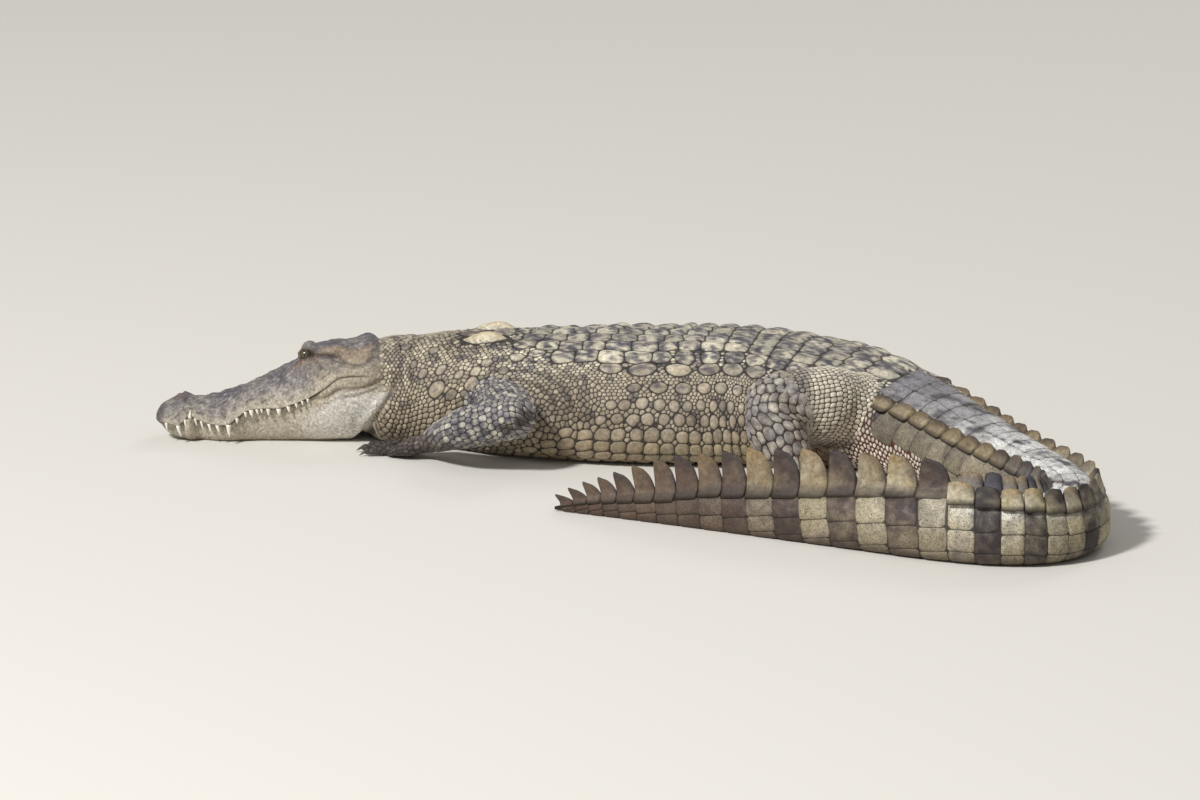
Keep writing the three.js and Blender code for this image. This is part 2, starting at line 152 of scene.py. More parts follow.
@dataclass(frozen=True)
class BodyPlan:
    """The body line and the sections of neck, trunk and tail, as the solids have them."""

    snout: Pair = (-822.35, 256.84)
    head_length: float = 400.0
    neck_end: float = 668.0
    tail_end: float = 2986.0
    heading: Curve = Curve((0, -4), (400, -3), (500, 10), (640, 10), (760, 2), (960, 1),
        (1120, 17), (1370, 51), (1570, 64), (1800, 63), (1930, 76), (2020, 106), (2120, 168),
        (2210, 195), (2330, 205), (2480, 206), (2986, 203))
    half_width: Curve = Curve((400, 104), (470, 108), (560, 133), (640, 168), (760, 204),
        (900, 226), (1050, 228), (1180, 208), (1290, 168), (1365, 130), (1470, 108), (1600, 95),
        (1800, 79), (2000, 67), (2200, 56), (2400, 43), (2600, 31), (2800, 17), (2986, 5))
    height: Curve = Curve((400, 168), (470, 181), (560, 192), (640, 195), (850, 195), (1000, 193),
        (1115, 188), (1200, 181), (1290, 170), (1365, 158), (1470, 146), (1600, 134), (1800, 121),
        (2000, 112), (2200, 106), (2400, 92), (2600, 76), (2800, 50), (2900, 34), (2986, 9))
    widest: Curve = Curve((400, 0.42), (900, 0.4), (1365, 0.46), (1800, 0.45), (2986, 0.42))
    sink: Curve = Curve((400, 1.08), (560, 1.15), (1290, 1.15), (1470, 1.06), (2986, 1.05))
    lean: float = 0.118  # the head lies a little turned on its length, right side lower
    skew: float = 0.12  # the head's sections lie this much aslant, far side behind
    back_power: float = 2.3
    belly_power: float = 3.2

    def line(self) -> tuple[Array, Array]:
        """The body line, walked in steps of 1 mm.

        Returns:
            Points (n, 2) and headings in radians (n,), one per millimetre.
        """
        steps = np.arange(int(self.tail_end) + 30)
        angle = np.radians(self.heading(steps + 0.5))
        moves = np.stack([np.cos(angle), -np.sin(angle)], -1)
        points = np.concatenate([[self.snout], self.snout + np.cumsum(moves, 0)])[:-1]
        return points, np.radians(self.heading(steps))

    def place(self, s: Array, side: Array, z: Array) -> Array:
        """World place of points given along the body line, to the side and up.

        Args:
            s: distance along the body line.
            side: offset from it, positive to the animal's right.
            z: height over the floor.

        Returns:
            Points (..., 3) in millimetres.
        """
        points, _ = self.line()
        s, side, z = np.broadcast_arrays(*(np.asarray(v, float) for v in (s, side, z)))
        along = s + self.skew * (side + 52) * (1 - ramp(s, 300, 420))
        inside = np.clip(along, 0, self.tail_end + 9)
        marks = np.arange(len(points))
        angle = np.radians(self.heading(along))
        x = np.interp(inside, marks, points[:, 0])
        y = np.interp(inside, marks, points[:, 1])
        over = along - inside
        right = side + 42 + np.sqrt((side + 42) ** 2 + 300)
        z = z - self.lean * right / 2 * ramp(z, 30, 125) * (1 - ramp(s, 375, 450))
        return np.stack(
            [
                x + over * np.cos(angle) + side * np.sin(angle),
                y - over * np.sin(angle) + side * np.cos(angle),
                z,
            ],
            -1,
        )

    def trace(self, points: Array) -> tuple[Array, Array]:
        """The nearest place on the body line for world points.

        Args:
            points: (n, 3) in millimetres.

        Returns:
            Distance along the line and signed offset to the right, each (n,).
        """
        line, angle = self.line()
        blocks = np.array_split(points[:, None, :2], max(1, len(points) // 4000))
        near = [((block - line[None, ::8]) ** 2).sum(-1).argmin(1) * 8 for block in blocks]
        near = np.concatenate(near)
        ahead = np.stack([np.cos(angle[near]), -np.sin(angle[near])], -1)
        gap = points[:, :2] - line[near]
        right = np.stack([np.sin(angle[near]), np.cos(angle[near])], -1)
        along, side = near + (gap * ahead).sum(-1), (gap * right).sum(-1)
        return along - self.skew * (side + 52) * (1 - ramp(along, 300, 420)), side

    def ridge(self, s: Array, side: Array) -> Array:
        """How far the tail's back rises to the foot of its crest, in mm.

        Past the bend a wedge, (1 - side / 0.8 wide)^1.3, rises to the single crest; before
        it a bell on each side carries the double one.

        Args:
            s: distance along the body line.
            side: offset from it.

        Returns:
            The rise over the plain outline.
        """
        share = np.abs(side) / self.half_width(s)
        wedge = Curve((2200, 0), (2262, 0.22), (2400, 0.2), (2550, 0.04), (2600, 0))(s)
        shoulder = 0.13 * ramp(s, 2085, 2150) * (1 - ramp(s, 2235, 2262))
        wedge = wedge * np.clip(1 - share / 0.8, 0, 1) ** 1.3
        return self.height(s) * (wedge + shoulder * bump(share, 0.6, 0.2))

    def folds(self, s: Array, d: Array) -> Array:
        """How deep the skin's folds are, 0 to 1: on the neck, round its shields and the arms.

        Args:
            s: distance along the body line.
            d: distance round the body from the back's midline.

        Returns:
            The depth at each place.
        """
        away = np.abs(d)
        wave = 14 * np.sin(away / 31 + s / 90)
        neck = 1 - np.abs(np.sin(math.pi * (s + wave) / 19)) ** 0.5
        neck = neck * bump(s, 455, 36) * bump(away, 150, 110)
        shield = np.hypot((s - 598) / 58, (away - 45) / 34)
        shields = bump(shield, 1.0, 0.06) + 0.8 * bump(shield, 1.3, 0.06)
        arm = np.hypot((s - 655) / 74, (away - 235) / 72)
        arms = (bump(arm, 1.0, 0.06) + bump(arm, 1.3, 0.06) + 0.7 * bump(arm, 1.62, 0.06)) * (
            1 - ramp(away, 215, 245))
        behind = 1 - np.abs(np.sin(math.pi * (s + 0.4 * wave) / 13)) ** 0.5
        behind = behind * bump(s, 745, 30) * bump(away, 225, 60)
        return np.clip(neck + shields + arms + behind, 0, 1)

    def section(self, s: Array, phi: Array, depth: float) -> tuple[Array, Array]:
        """Sections of neck, trunk and tail: superellipses, flat where they meet the floor.

        Args:
            s: distances along the body line, (n, 1).
            phi: angle from the back's midline, -pi to pi by the left, (1, m).
            depth: how far inside the solids the sections lie.

        Returns:
            Side and height of each point, (n, m).
        """
        middle = self.height(s) * self.widest(s)
        over = np.cos(phi) > 0
        power = np.where(over, 2 / self.back_power, 2 / self.belly_power)
        reach = np.where(over, self.height(s) - middle - depth, middle * self.sink(s) - depth)
        wide = np.maximum(self.half_width(s) - depth, 1.5)
        side = wide * signed_power(np.sin(phi), power)
        z = middle + reach * signed_power(np.cos(phi), power)
        return side, np.maximum(z, 0.6 * depth)

    def holds(self, points: Array, share: float) -> Array:
        """Whether world points lie inside the neck, trunk or tail, shrunk by a share.

        Args:
            points: (n, 3) in millimetres.
            share: 1 tests the outline itself.

        Returns:
            A truth value for each point.
        """
        s, side = self.trace(points)
        middle = self.height(s) * self.widest(s)
        over = points[:, 2] > middle
        power = np.where(over, self.back_power, self.belly_power)
        reach = np.where(over, self.height(s) - middle, middle * self.sink(s))
        size = np.abs(side / self.half_width(s)) ** power
        size = size + np.abs((points[:, 2] - middle) / reach) ** power
        return (size < share**2) & (s > self.head_length)


PLAN = BodyPlan()


class Sheet:
    """A tube of surface as a grid of points, read at any (u, q) between them."""

    def __init__(self, u: Array, points: Array) -> None:
        """Measures the grid.

        Args:
            u: distance along for each row, (n,).
            points: (n, m, 3), each row even round the section from q = -1 to 1.
        """
        self.u = u
        self.points = points
        self.q = np.linspace(-1, 1, points.shape[1])
        self.half = np.linalg.norm(np.diff(points, axis=1), axis=2).sum(1) / 2
        along = np.gradient(points, u, axis=0)
        around = np.gradient(points, self.q, axis=1)
        self.normals = unit(np.cross(along, around))

    def width(self, u: Array) -> Array:
        """Distance round half the section at u, in millimetres."""
        return np.interp(u, self.u, self.half)

    def at(self, u: Array, q: Array) -> tuple[Array, Array]:
        """Points and outward normals at (u, q), from the four grid points round each.

        Args:
            u: distances along the tube.
            q: shares round it, which wrap at the belly's midline.

        Returns:
            Points and unit normals, each (..., 3).
        """
        row = np.interp(u, self.u, np.arange(len(self.u)))
        column = ((q + 1) % 2) / 2 * (len(self.q) - 1)
        i = np.minimum(row.astype(int), len(self.u) - 2)
        j = np.minimum(column.astype(int), len(self.q) - 2)
        a, b = (row - i)[..., None], (column - j)[..., None]

        def blend(grid: Array) -> Array:
            """The bilinear mean of a grid's four corners."""
            low = mix(grid[i, j], grid[i, j + 1], b)
            return mix(low, mix(grid[i + 1, j], grid[i + 1, j + 1], b), a)

        return blend(self.points), unit(blend(self.normals))


def resample(points: Array, shares: Array) -> Array:
    """Rows of points read at given shares of each row's length.

    Args:
        points: rows of points along a line, (n, m, k).
        shares: places from 0 to 1 in each row, (n, p).

    Returns:
        Points (n, p, k), on straight lines between the given ones.
    """
    steps = np.linalg.norm(np.diff(points, axis=1), axis=2)
    length = np.concatenate([np.zeros((len(points), 1)), np.cumsum(steps, 1)], 1)
    length /= np.maximum(length[:, -1:], 1e-9)
    return np.stack(
        [
            np.stack([np.interp(want, have, row[:, k]) for k in range(row.shape[1])], -1)
            for want, have, row in zip(shares, length, points)
        ]
    )


# ------------------------------------------------------------------ the head's form


@dataclass(frozen=True)
class HeadPlan:
    """Outline and relief of skull and lower jaw, as the solids have them, and finer folds."""

    lip: Curve = Curve((0, 9), (5, 24), (15, 36), (40, 47), (67, 41), (100, 54), (138, 64),
        (180, 65), (240, 76), (300, 92), (360, 105), (400, 105))
    top: Curve = Curve((0, 47), (6, 60), (20, 70), (48, 77), (75, 77), (110, 85), (163, 101),
        (225, 132), (260, 151), (300, 160), (350, 163), (378, 169), (400, 164))
    mouth: Curve = Curve((0, 36), (25, 35), (42, 32), (61, 47), (76, 41), (100, 35), (130, 35),
        (146, 47), (165, 60), (190, 64), (225, 66), (250, 75), (281, 90), (306, 108), (332, 127),
        (400, 131))
    chin: Curve = Curve((9, 20), (25, 10), (45, 3), (80, -4), (335, -4), (368, 9), (400, -2))
    jaw_setback: float = 9.0
    overbite: float = 9.8
    eye_s: float = 268.0
    eye_side: float = 40.0
    eye_z: float = 157.0
    eye_radius: float = 13.0
    upper_teeth: tuple[tuple[float, float, float], ...] = ((21, 11, 5.5), (42, 18.5, 7.5),
        (54, 13, 6), (72, 12, 5), (83, 13, 5.5), (97, 14.5, 6), (112, 13.5, 7), (132, 21, 9),
        (147, 8, 5.5), (162, 8, 5.5), (172, 10, 8.5), (182, 8, 5.5), (190, 6, 4.5), (202, 10, 7),
        (221, 10, 9), (238, 8.5, 7), (252, 7, 5), (263, 6, 4.5), (273, 5.5, 4.5))
    lower_teeth: tuple[tuple[float, float, float], ...] = ((62, 20, 8),)
    corner: float = 306.0  # where the mouth opens to; behind it the line is only a fold
    jaw_edge: Curve = Curve((0, 352), (12, 361), (28, 371), (73, 400), (110, 425), (150, 436))
    ear: Curve = Curve((288, 160), (300, 158.5), (318, 156), (336, 151), (352, 147), (366, 148),
        (380, 154), (392, 161))

    last: float = 399.0  # where its own sections end
    pad: Curve = Curve((276, 0), (306, -18), (335, -22), (362, -22), (395, -12))  # of the cheek

    def open_ear(self, s: Array, side: Array) -> Array:
        """1 along the ear's slit, 0 elsewhere."""
        return ramp(s, 286, 294) * (1 - ramp(s, 384, 394)) * (np.abs(side) > 40)

    def cheek(self, s: Array, side: Array) -> Array:
        """1 on the cheek behind the mouth's corner, 0 elsewhere."""
        return ramp(s, 275, 310) * (1 - ramp(s, 385, 410)) * (np.abs(side) > 50)

    def under_eye(self, s: Array, side: Array, z: Array) -> tuple[Array, Array]:
        """Distance out from the eye's middle, and 1 below the eye or 0 elsewhere."""
        out = np.hypot((s - self.eye_s) / 1.25, z - self.eye_z)
        return out, ramp(np.abs(side), 40, 48) * ramp(self.eye_z - 4 - z, 0, 8)

    def bare_to(self, d: Array, z: Array) -> Array:
        """How far back the head's bare skin reaches, at distance d round and height z."""
        return np.where(np.abs(d) > 130, self.jaw_edge(z) + 6, 402)

    def creases(self, s: Array, side: Array, z: Array) -> Array:
        """How deep the face's creases are, 0 to 1: ear slit, cheek, mouth corner and jowl.

        Args:
            s: distances along the body line.
            side: places to the side.
            z: heights.

        Returns:
            Depths, 0 to 1.
        """
        gap = z - self.mouth(s)
        line = self.ear(s)
        pad = self.pad(s)
        slit = (1 - 0.35 * ramp(s, 325, 345)) * bump(z, line - 1, 2.6)
        lid = 0.4 * bump(z, line + 21 - 0.05 * (s - 330), 2.0) * ramp(s, 300, 330)
        lips = 0.8 * bump(gap, pad, 2.8) + 0.4 * bump(gap, pad / 2 - 1, 2.2) * ramp(s, 335, 350)
        jowl = 0.5 * bump(gap, pad - 15 + 0.1 * (s - 330), 2.4) * ramp(s, 325, 345)
        over = 0.5 * bump(gap, 19 - 0.05 * (s - 330), 2.4) * (1 - ramp(s, 355, 380))
        out, below = self.under_eye(s, side, z)
        bags = (0.3 * bump(out, 20, 2.6) + 0.2 * bump(out, 27, 3.0)) * below * ramp(s, 250, 262)
        cheek = self.cheek(s, side) * (lips + jowl + over)
        return self.open_ear(s, side) * (slit + lid) + cheek + bags

    def relief(self, s: Array, side: Array) -> Array:
        """Relief of the skull's roof: nostril knob, snout ridges, brows and cranial table.

        Args:
            s: distances along the body line.
            side: places to the side.

        Returns:
            Heights over the plain roof, in mm.
        """
        away = np.abs(side)
        nostrils = 9 * bump(s, 46, 17) * bump(away, 12, 12)
        ridges = 4 * ramp(s, 110, 190) * (1 - ramp(s, 225, 255)) * bump(away, 34, 14)
        brows = 17 * bump(s, self.eye_s + 7, 20) * bump(away, self.eye_side - 1, 15)
        table = 16 * ramp(s, 250, 282) * (1 - ramp(s, 390, 408)) * (1 - ramp(away, 52, 61))
        bosses = 2.5 * bump(s, 376, 18) * bump(away, 42, 18)
        return nostrils + ridges + np.maximum(brows, table) + bosses


HEAD = HeadPlan()


# points of half a ring, from the back's midline down: roof, gape and jaw
ROOF, GAPE, JAW = 60, 7, 48
HALF = ROOF + GAPE + JAW
FLOOR_GAP = 0.4  # the lowest skin's height, in mm


@dataclass
class Flesh:
    """Head, neck, trunk and tail as one tube of rings, without the scales."""

    depth: float = 2.6
    head_depth: float = 1.0
    head_step: float = 3.0
    eye_step: float = 1.7
    neck_step: float = 4.5
    body_step: float = 15.0
    tail_step: float = 24.0

    def stations(self) -> Array:
        """Where the rings stand: closest at the eyes, widest apart on the tail.

        Returns:
            Distances along the body line.
        """
        reach = np.arange(0, PLAN.tail_end + 1)
        step = np.full(reach.shape, self.head_step)
        step = mix(step, self.eye_step, bump(reach, HEAD.eye_s, 42))
        step = mix(step, self.neck_step, ramp(reach, 400, 450))
        step = mix(step, self.body_step, ramp(reach, 770, 840))
        step = mix(step, self.tail_step, ramp(reach, 1500, 1650))
        count = np.concatenate([[0], np.cumsum(1 / step)[:-1]])
        return np.interp(np.arange(int(count[-1]) + 1), count, reach)

    def head_halves(self, s: Array) -> Array:
        """Half sections of the head, from the roof's midline to the chin's.

        The roof is a superellipse with the relief on top, the jaw one with softer powers,
        and between them the gape turns in from the upper lip and out to the lower one.

        Args:
            s: distances along the body line, (n,).

        Returns:
            Side (positive) and height, (n, half, 2).
        """
        s = s[:, None]
        lip = HEAD.lip(s) - self.head_depth
        mouth = HEAD.mouth(s)
        top = HEAD.top(s) - self.head_depth
        power = 2 / mix(2.5, 2.1, ramp(s, 200, 320))
        t = np.linspace(math.pi / 2, 0, 181)[None]
        side = lip * np.abs(np.cos(t)) ** power
        z = mouth + (top - mouth) * np.sin(t) ** power + HEAD.relief(s, side)
        edge = np.interp(side / lip, [0, 0.9, 1.0], [1, 1, 0])
        z = np.where(t < 0.02, mouth, mix(mouth, z, np.maximum(edge, 1 - bump(t, 0, 0.25))))
        roof = np.stack([side, z], -1)
        eye_share = 0.42
        even = np.linspace(0, 1, ROOF)[None]
        pull = 0.35 * bump(s, HEAD.eye_s, 40)
        span = np.linspace(0, 1, 400)
        share = []
        for strength in pull[:, 0]:
            weight = 1 + 4 * strength * bump(span, eye_share, 0.16)
            sums = np.cumsum(weight)
            share.append(np.interp(even[0], (sums - sums[0]) / (sums[-1] - sums[0]), span))
        roof = resample(roof, np.array(share))

        tusk = 1.8 * bump(s, HEAD.lower_teeth[0][0], 9)
        inset = HEAD.overbite * (1 - ramp(s, 235, 330)) * (1 - tusk)
        jaw_wide = np.minimum(HEAD.lip(s), HEAD.lip(s - HEAD.jaw_setback)) - inset
        jaw_wide = np.maximum(jaw_wide - self.head_depth, 3) * ramp(s + 8, 0, 17) ** 0.5
        deep = (mouth - HEAD.chin(s)) * ramp(s + 4, 0, 24) ** 0.6
        t = np.linspace(0, math.pi / 2, 121)[None]
        side = jaw_wide * np.cos(t) ** 0.8
        z = np.maximum(mouth - deep * np.sin(t) ** 0.75, 0.6 * self.head_depth)
        jaw = resample(np.stack([side, z], -1), np.linspace(0, 1, JAW)[None].repeat(len(s), 0))
        cut = mix(4.5, 2.2, ramp(s, HEAD.corner - 12, HEAD.corner + 14))
        cut = cut * (1 - ramp(s, 372, 396))
        open_by = mix(1.5, 0.9, ramp(s, HEAD.corner - 20, HEAD.corner + 10))
        open_by = open_by * (1 - ramp(s, 372, 398))
        u = np.linspace(0, 1, GAPE + 2)[None, 1:-1]
        inner = np.minimum(lip, jaw_wide) - cut
        side = mix(lip, jaw_wide, ramp(u, 0.3, 0.7))
        side = mix(side, np.minimum(side, inner), np.sin(math.pi * u) ** 0.7)
        z = mouth + open_by * np.cos(math.pi * u)
        gape = np.stack([side, z], -1)
        roof[:, -1, 1] = mouth[:, 0] + open_by[:, 0] + 0.6
        roof[:, -1, 0] -= 0.8
        jaw[:, 0, 1] = mouth[:, 0] - open_by[:, 0] - 0.6
        return np.concatenate([roof, gape, jaw], 1)

    def body_halves(self, s: Array, shares: Array) -> Array:
        """Half sections of the body read at shares of their length, (n, half, 2).

        Args:
            s: distances along the body line.
            shares: where each section is read, as shares of its length.

        Returns:
            Side (positive) and height.
        """
        phi = np.linspace(0, math.pi, 361)[None]
        side, z = PLAN.section(s[:, None], phi, self.depth)
        side[:, 0] = 0
        side[:, -1] = 0
        above = z / PLAN.height(s[:, None])
        z = z + PLAN.ridge(s[:, None], side) * ramp(above, 0.45, 0.6)
        return resample(np.stack([side, z], -1), shares)

    def halves(self, s: Array) -> Array:
        """Half sections of the whole animal; the head's run into the body's at the nape.

        Args:
            s: distances along the body line, (n,).

        Returns:
            Side (positive) and height, (n, half, 2).
        """
        head = self.head_halves(np.clip(s, 0, HEAD.last))
        last = head[np.argmin(np.abs(s - HEAD.last))]
        steps = np.linalg.norm(np.diff(last, axis=0), axis=1)
        at_nape = np.concatenate([[0], np.cumsum(steps)]) / steps.sum()
        even = np.linspace(0, 1, HALF)
        share = mix(at_nape[None], even[None], ramp(s, 400, 560)[:, None])
        body = self.body_halves(np.maximum(s, 352), share)
        return mix(head, body, ramp(s, 378, 420)[:, None, None])

    def rings(self) -> tuple[Array, Array]:
        """The whole tube's rings in the world, with the head's folds worked in.

        Returns:
            Distances along (n,) and points (n, m, 3), from the belly's midline by the left
            side over the back and down the right; first and last point are the same.
        """
        s = self.stations()
        half = self.halves(s)
        left = half[:, ::-1] * np.array([-1, 1])
        ring = np.concatenate([left, half[:, 1:]], 1)
        points = PLAN.place(s[:, None], ring[..., 0], ring[..., 1])
        return s, self.fold(s, ring, points)

    def fold(self, s: Array, ring: Array, points: Array) -> Array:
        """Moves the rings' points out or in along their normals by the finer relief.

        Args:
            s: distances along the body line, (n,).
            ring: side and height of each point, (n, m, 2).
            points: the points in the world, (n, m, 3).

        Returns:
            The moved points.
        """
        along = np.gradient(points, s, axis=0)
        around = np.gradient(points, axis=1)
        normals = unit(np.cross(along, around))
        side, z = ring[..., 0], ring[..., 1]
        here = s[:, None] + 0 * side
        pieces = np.linalg.norm(np.diff(ring, axis=1), axis=2)
        d = np.concatenate([np.zeros((len(s), 1)), np.cumsum(pieces, 1)], 1)
        d = d - d[:, d.shape[1] // 2, None]
        lift = self.head_relief(here, side, z) + self.body_relief(points, here, d, z)
        moved = points + normals * lift[..., None]
        for way in (-1, 1):
            moved = self.eye_socket(moved, here, way)
        moved[..., 2] = np.maximum(moved[..., 2], FLOOR_GAP)
        return moved

    def head_relief(self, s: Array, side: Array, z: Array) -> Array:
        """Relief of the head's skin in millimetres: gums, pits, ear, folds and jaw edge.

        Args:
            s: distances along the body line.
            side: places to the side.
            z: heights.

        Returns:
            Millimetres outwards.
        """
        away = np.abs(side)
        on_head = 1 - ramp(s, 396, 420)
        mouth = HEAD.mouth(s)
        gap = z - mouth
        flank = ramp(away, 0.55 * HEAD.lip(s), 0.8 * HEAD.lip(s))
        lift = np.zeros(s.shape)
        for place, length, width in HEAD.upper_teeth:
            size = 0.11 * length + 0.2
            lift += size * bump(s, place, 0.7 * width) * bump(gap, 5, 7) * (gap > 0) * flank
        for place in (58, 76, 92, 108, 122, 140, 158, 176, 196):
            lift += 0.9 * bump(s, place, 6) * bump(gap, -5, 6) * (gap < 0) * flank
        where = np.stack([s, side * 0.9, z * 0.9], -1)
        bone = ramp(s, 20, 60) * (1 - ramp(s, 250, 300)) * ramp(gap, 4, 14)
        lift += bone * (1.3 * ripple(where, 26, 3) + 0.8 * ripple(where, 11, 4))
        lift += 0.25 * ripple(where, 7, 5) * ramp(gap, 2, 8)
        slit = 3.2 * bump(s, 44 + 0.5 * (away - 12) ** 2 / 12, 2.6) * bump(away, 12, 6)
        lift -= slit * (z > 60)
        lift += 1.6 * bump(s, 52, 5) * bump(away, 12, 9) * (z > 60)
        table_edge = bump(away, 56, 5) * ramp(s, 296, 312) * (1 - ramp(s, 388, 400))
        lift += 1.6 * table_edge * ramp(z, 155, 165)
        lift -= 2.6 * bump(np.hypot((s - 350) / 20, (away - 26) / 13), 0, 0.8) * (z > 150)
        line = HEAD.ear(s)
        open_ear = HEAD.open_ear(s, side)
        lift -= 4.8 * HEAD.creases(s, side, z)
        lift += 3.6 * open_ear * bump(z, line + 10, 8)
        lift += 1.6 * open_ear * bump(z, line - 8, 5)
        cheek = HEAD.cheek(s, side)
        pad = HEAD.pad(s)
        lift += 2.4 * cheek * bump(gap, 9, 7)
        lift += 3.4 * cheek * bump(gap, pad / 2, 0.3 * np.abs(pad) + 2)
        lift += 1.8 * cheek * bump(gap, pad - 7, 5)
        jowl = np.sin((s + 0.9 * z) / 2.6 + 2.5 * ripple(where, 45, 10))
        lift += 0.7 * jowl * bump(s, 345, 30) * bump(z, 55, 35) * (away > 60)
        out, below = HEAD.under_eye(s, side, z)
        lift += 1.0 * bump(out, 23.5, 2.5) * below
        fan = np.sin(0.55 * (z - HEAD.eye_z) + 0.25 * (s - HEAD.eye_s) + ripple(where, 30, 8))
        behind = ramp(s, HEAD.eye_s - 5, HEAD.eye_s + 15) * (away > 44)
        lift += 0.7 * fan * bump(out, 32, 9) * behind
        lift += (0.55 * np.sin(s / 1.9 + 2 * ripple(where, 40, 9)) * bump(s, 246, 9)
            * bump(z, 138, 12) * (away > 30))
        lift *= on_head
        edge = s - HEAD.jaw_edge(z)
        low = (1 - ramp(z, 128, 150)) * ramp(s, 330, 350)
        lift += 3.0 * low * bump(edge, -9, 9)
        lift -= 4.0 * low * bump(edge, 5, 5)
        return lift

    def body_relief(self, points: Array, s: Array, d: Array, z: Array) -> Array:
        """Relief of neck, trunk and tail in millimetres: soft swells and skin creases.

        Args:
            points: places in the world, in mm.
            s: distances along the body line.
            d: distances round from the back's midline.
            z: heights.

        Returns:
            Millimetres outwards.
        """
        nape = 7.0 * bump(s, 415, 26) * ramp(z, 110, 160)
        on_body = ramp(s, 410, 470) * (1 - ramp(s, 1500, 1700))
        lift = 2.2 * ripple(points, 130, 11) - 0.6
        lift -= 3.2 * PLAN.folds(s, d)
        return lift * on_body * ramp(z, 4, 30) + nape

    def eye_socket(self, points: Array, s: Array, way: int) -> Array:
        """Shapes the lids: skin drawn over the eyeball, with an almond opening in it.

        Args:
            points: the tube's points, (n, m, 3).
            s: distance along of each point.
            way: -1 for the left eye, 1 for the right.

        Returns:
            The points with that eye's lids shaped.
        """
        centre = eye_frame(way)[0]
        reach, h, _, b, opening = eye_view(points, way)
        near = (reach < 44) & (h > -9) & (np.abs(s - HEAD.eye_s) < 60)
        ball = HEAD.eye_radius + 1.4
        soft = 4.5 * ramp(h, -4, 3)
        lid = 0.5 * (reach + ball + np.sqrt((reach - ball) ** 2 + soft**2))
        lid = np.where(reach > ball + 12, reach, mix(lid, reach, ramp(reach, ball + 2, ball + 12)))
        front = h > 1
        lid = mix(lid, ball, (1 - ramp(opening, 1.15, 1.7)) * front)
        lid -= 7.0 * (1 - ramp(opening, 0.9, 1.03)) * front
        lid += 1.0 * bump(opening, 1.16, 0.12) * front * mix(0.5, 1.6, ramp(b, -2, 6))
        lid -= 1.3 * bump(opening, 1.55, 0.10) * front * (b < 6)
        return np.where(near[..., None], centre + (points - centre) * (lid / reach)[..., None],
            points)


def eye_view(points: Array, way: int) -> tuple[Array, Array, Array, Array, Array]:
    """How points lie from an eye: reach, how far out, forward and up, and lid opening.

    Args:
        points: places in millimetres, (..., 3).
        way: -1 for the left eye, 1 for the right.

    Returns:
        Distance from the ball's centre, the three shares of it brought to the ball's
        surface, and a measure that is 1 at the lids' edge and more outside it.
    """
    centre, out, fore, up = eye_frame(way)
    gap = points - centre
    reach = np.maximum(np.linalg.norm(gap, axis=-1), 1.0)
    h, a, b = (gap @ axis / reach * HEAD.eye_radius for axis in (out, fore, up))
    opening = np.hypot((a - 0.5) / 11.8, (b + 1.0 + 0.08 * a) / mix(7.6, 7.2, b > 0))
    return reach, h, a, b, opening


def eye_frame(way: int) -> tuple[Array, Array, Array, Array]:
    """Centre of an eye and its axes: outwards, forwards and up along the lids.

    Args:
        way: -1 for the left eye, 1 for the right.

    Returns:
        The centre in millimetres and three unit vectors.
    """
    centre = PLAN.place(HEAD.eye_s, way * HEAD.eye_side, HEAD.eye_z)
    ahead = unit(PLAN.place(HEAD.eye_s - 1, way * HEAD.eye_side, HEAD.eye_z) - centre)
    right = unit(PLAN.place(HEAD.eye_s, way * (HEAD.eye_side + 1), HEAD.eye_z) - centre)
    out = unit(0.88 * right + 0.42 * np.array([0, 0, 1.0]) + 0.22 * ahead)
    fore = unit(ahead - (ahead @ out) * out)
    up = np.cross(fore, out) * way
    return centre, out, fore, up * np.sign(up[2])




# ------------------------------------------------------------------ meshes


def make_object(name: str, points: Array, faces: list[Array]) -> Piece:
    """A mesh object from points in millimetres and arrays of equal-sided faces.

    Args:
        name: the piece's name.
        points: (n, 3) in millimetres.
        faces: arrays of corner indices, each (k, sides).

    Returns:
        The object, linked to the scene, smooth shaded.
    """
    mesh = bpy.data.meshes.new(name)
    mesh.vertices.add(len(points))
    mesh.vertices.foreach_set("co", (points * MM).astype(np.float32).ravel())
    corners = np.concatenate([f.ravel() for f in faces]).astype(np.int32)
    sides = np.concatenate([np.full(len(f), f.shape[1]) for f in faces])
    starts = np.concatenate([[0], np.cumsum(sides)[:-1]]).astype(np.int32)
    mesh.loops.add(len(corners))
    mesh.loops.foreach_set("vertex_index", corners)
    mesh.polygons.add(len(sides))
    mesh.polygons.foreach_set("loop_start", starts)
    mesh.update(calc_edges=True)
    mesh.polygons.foreach_set("use_smooth", np.ones(len(sides), bool))
    piece = bpy.data.objects.new(name, mesh)
    bpy.context.scene.collection.objects.link(piece)
    return piece


def paint(piece: Piece, name: str, values: Array) -> None:
    """Stores one number or one colour for each vertex as an attribute.

    Args:
        piece: the object.
        name: the attribute's name, as its material reads it.
        values: (n,) numbers or (n, 3) linear colours.
    """
    if values.ndim == 1:
        data = piece.data.attributes.new(name, "FLOAT", "POINT")
        data.data.foreach_set("value", values.astype(np.float32))
    else:
        data = piece.data.attributes.new(name, "FLOAT_COLOR", "POINT")
        full = np.concatenate([values, np.ones((len(values), 1))], 1)
        data.data.foreach_set("color", full.astype(np.float32).ravel())


def store_map(piece: Piece, parts: list[Array]) -> None:
    """Stores the OFBake map from the places of all face corners, in the faces' order.

    Args:
        piece: the object.
        parts: places of the corners, for each group of faces.
    """
    layer = piece.data.uv_layers.new(name="OFBake")
    spots = np.concatenate([part.reshape(-1, 2) for part in parts])
    layer.data.foreach_set("uv", spots.astype(np.float32).ravel())


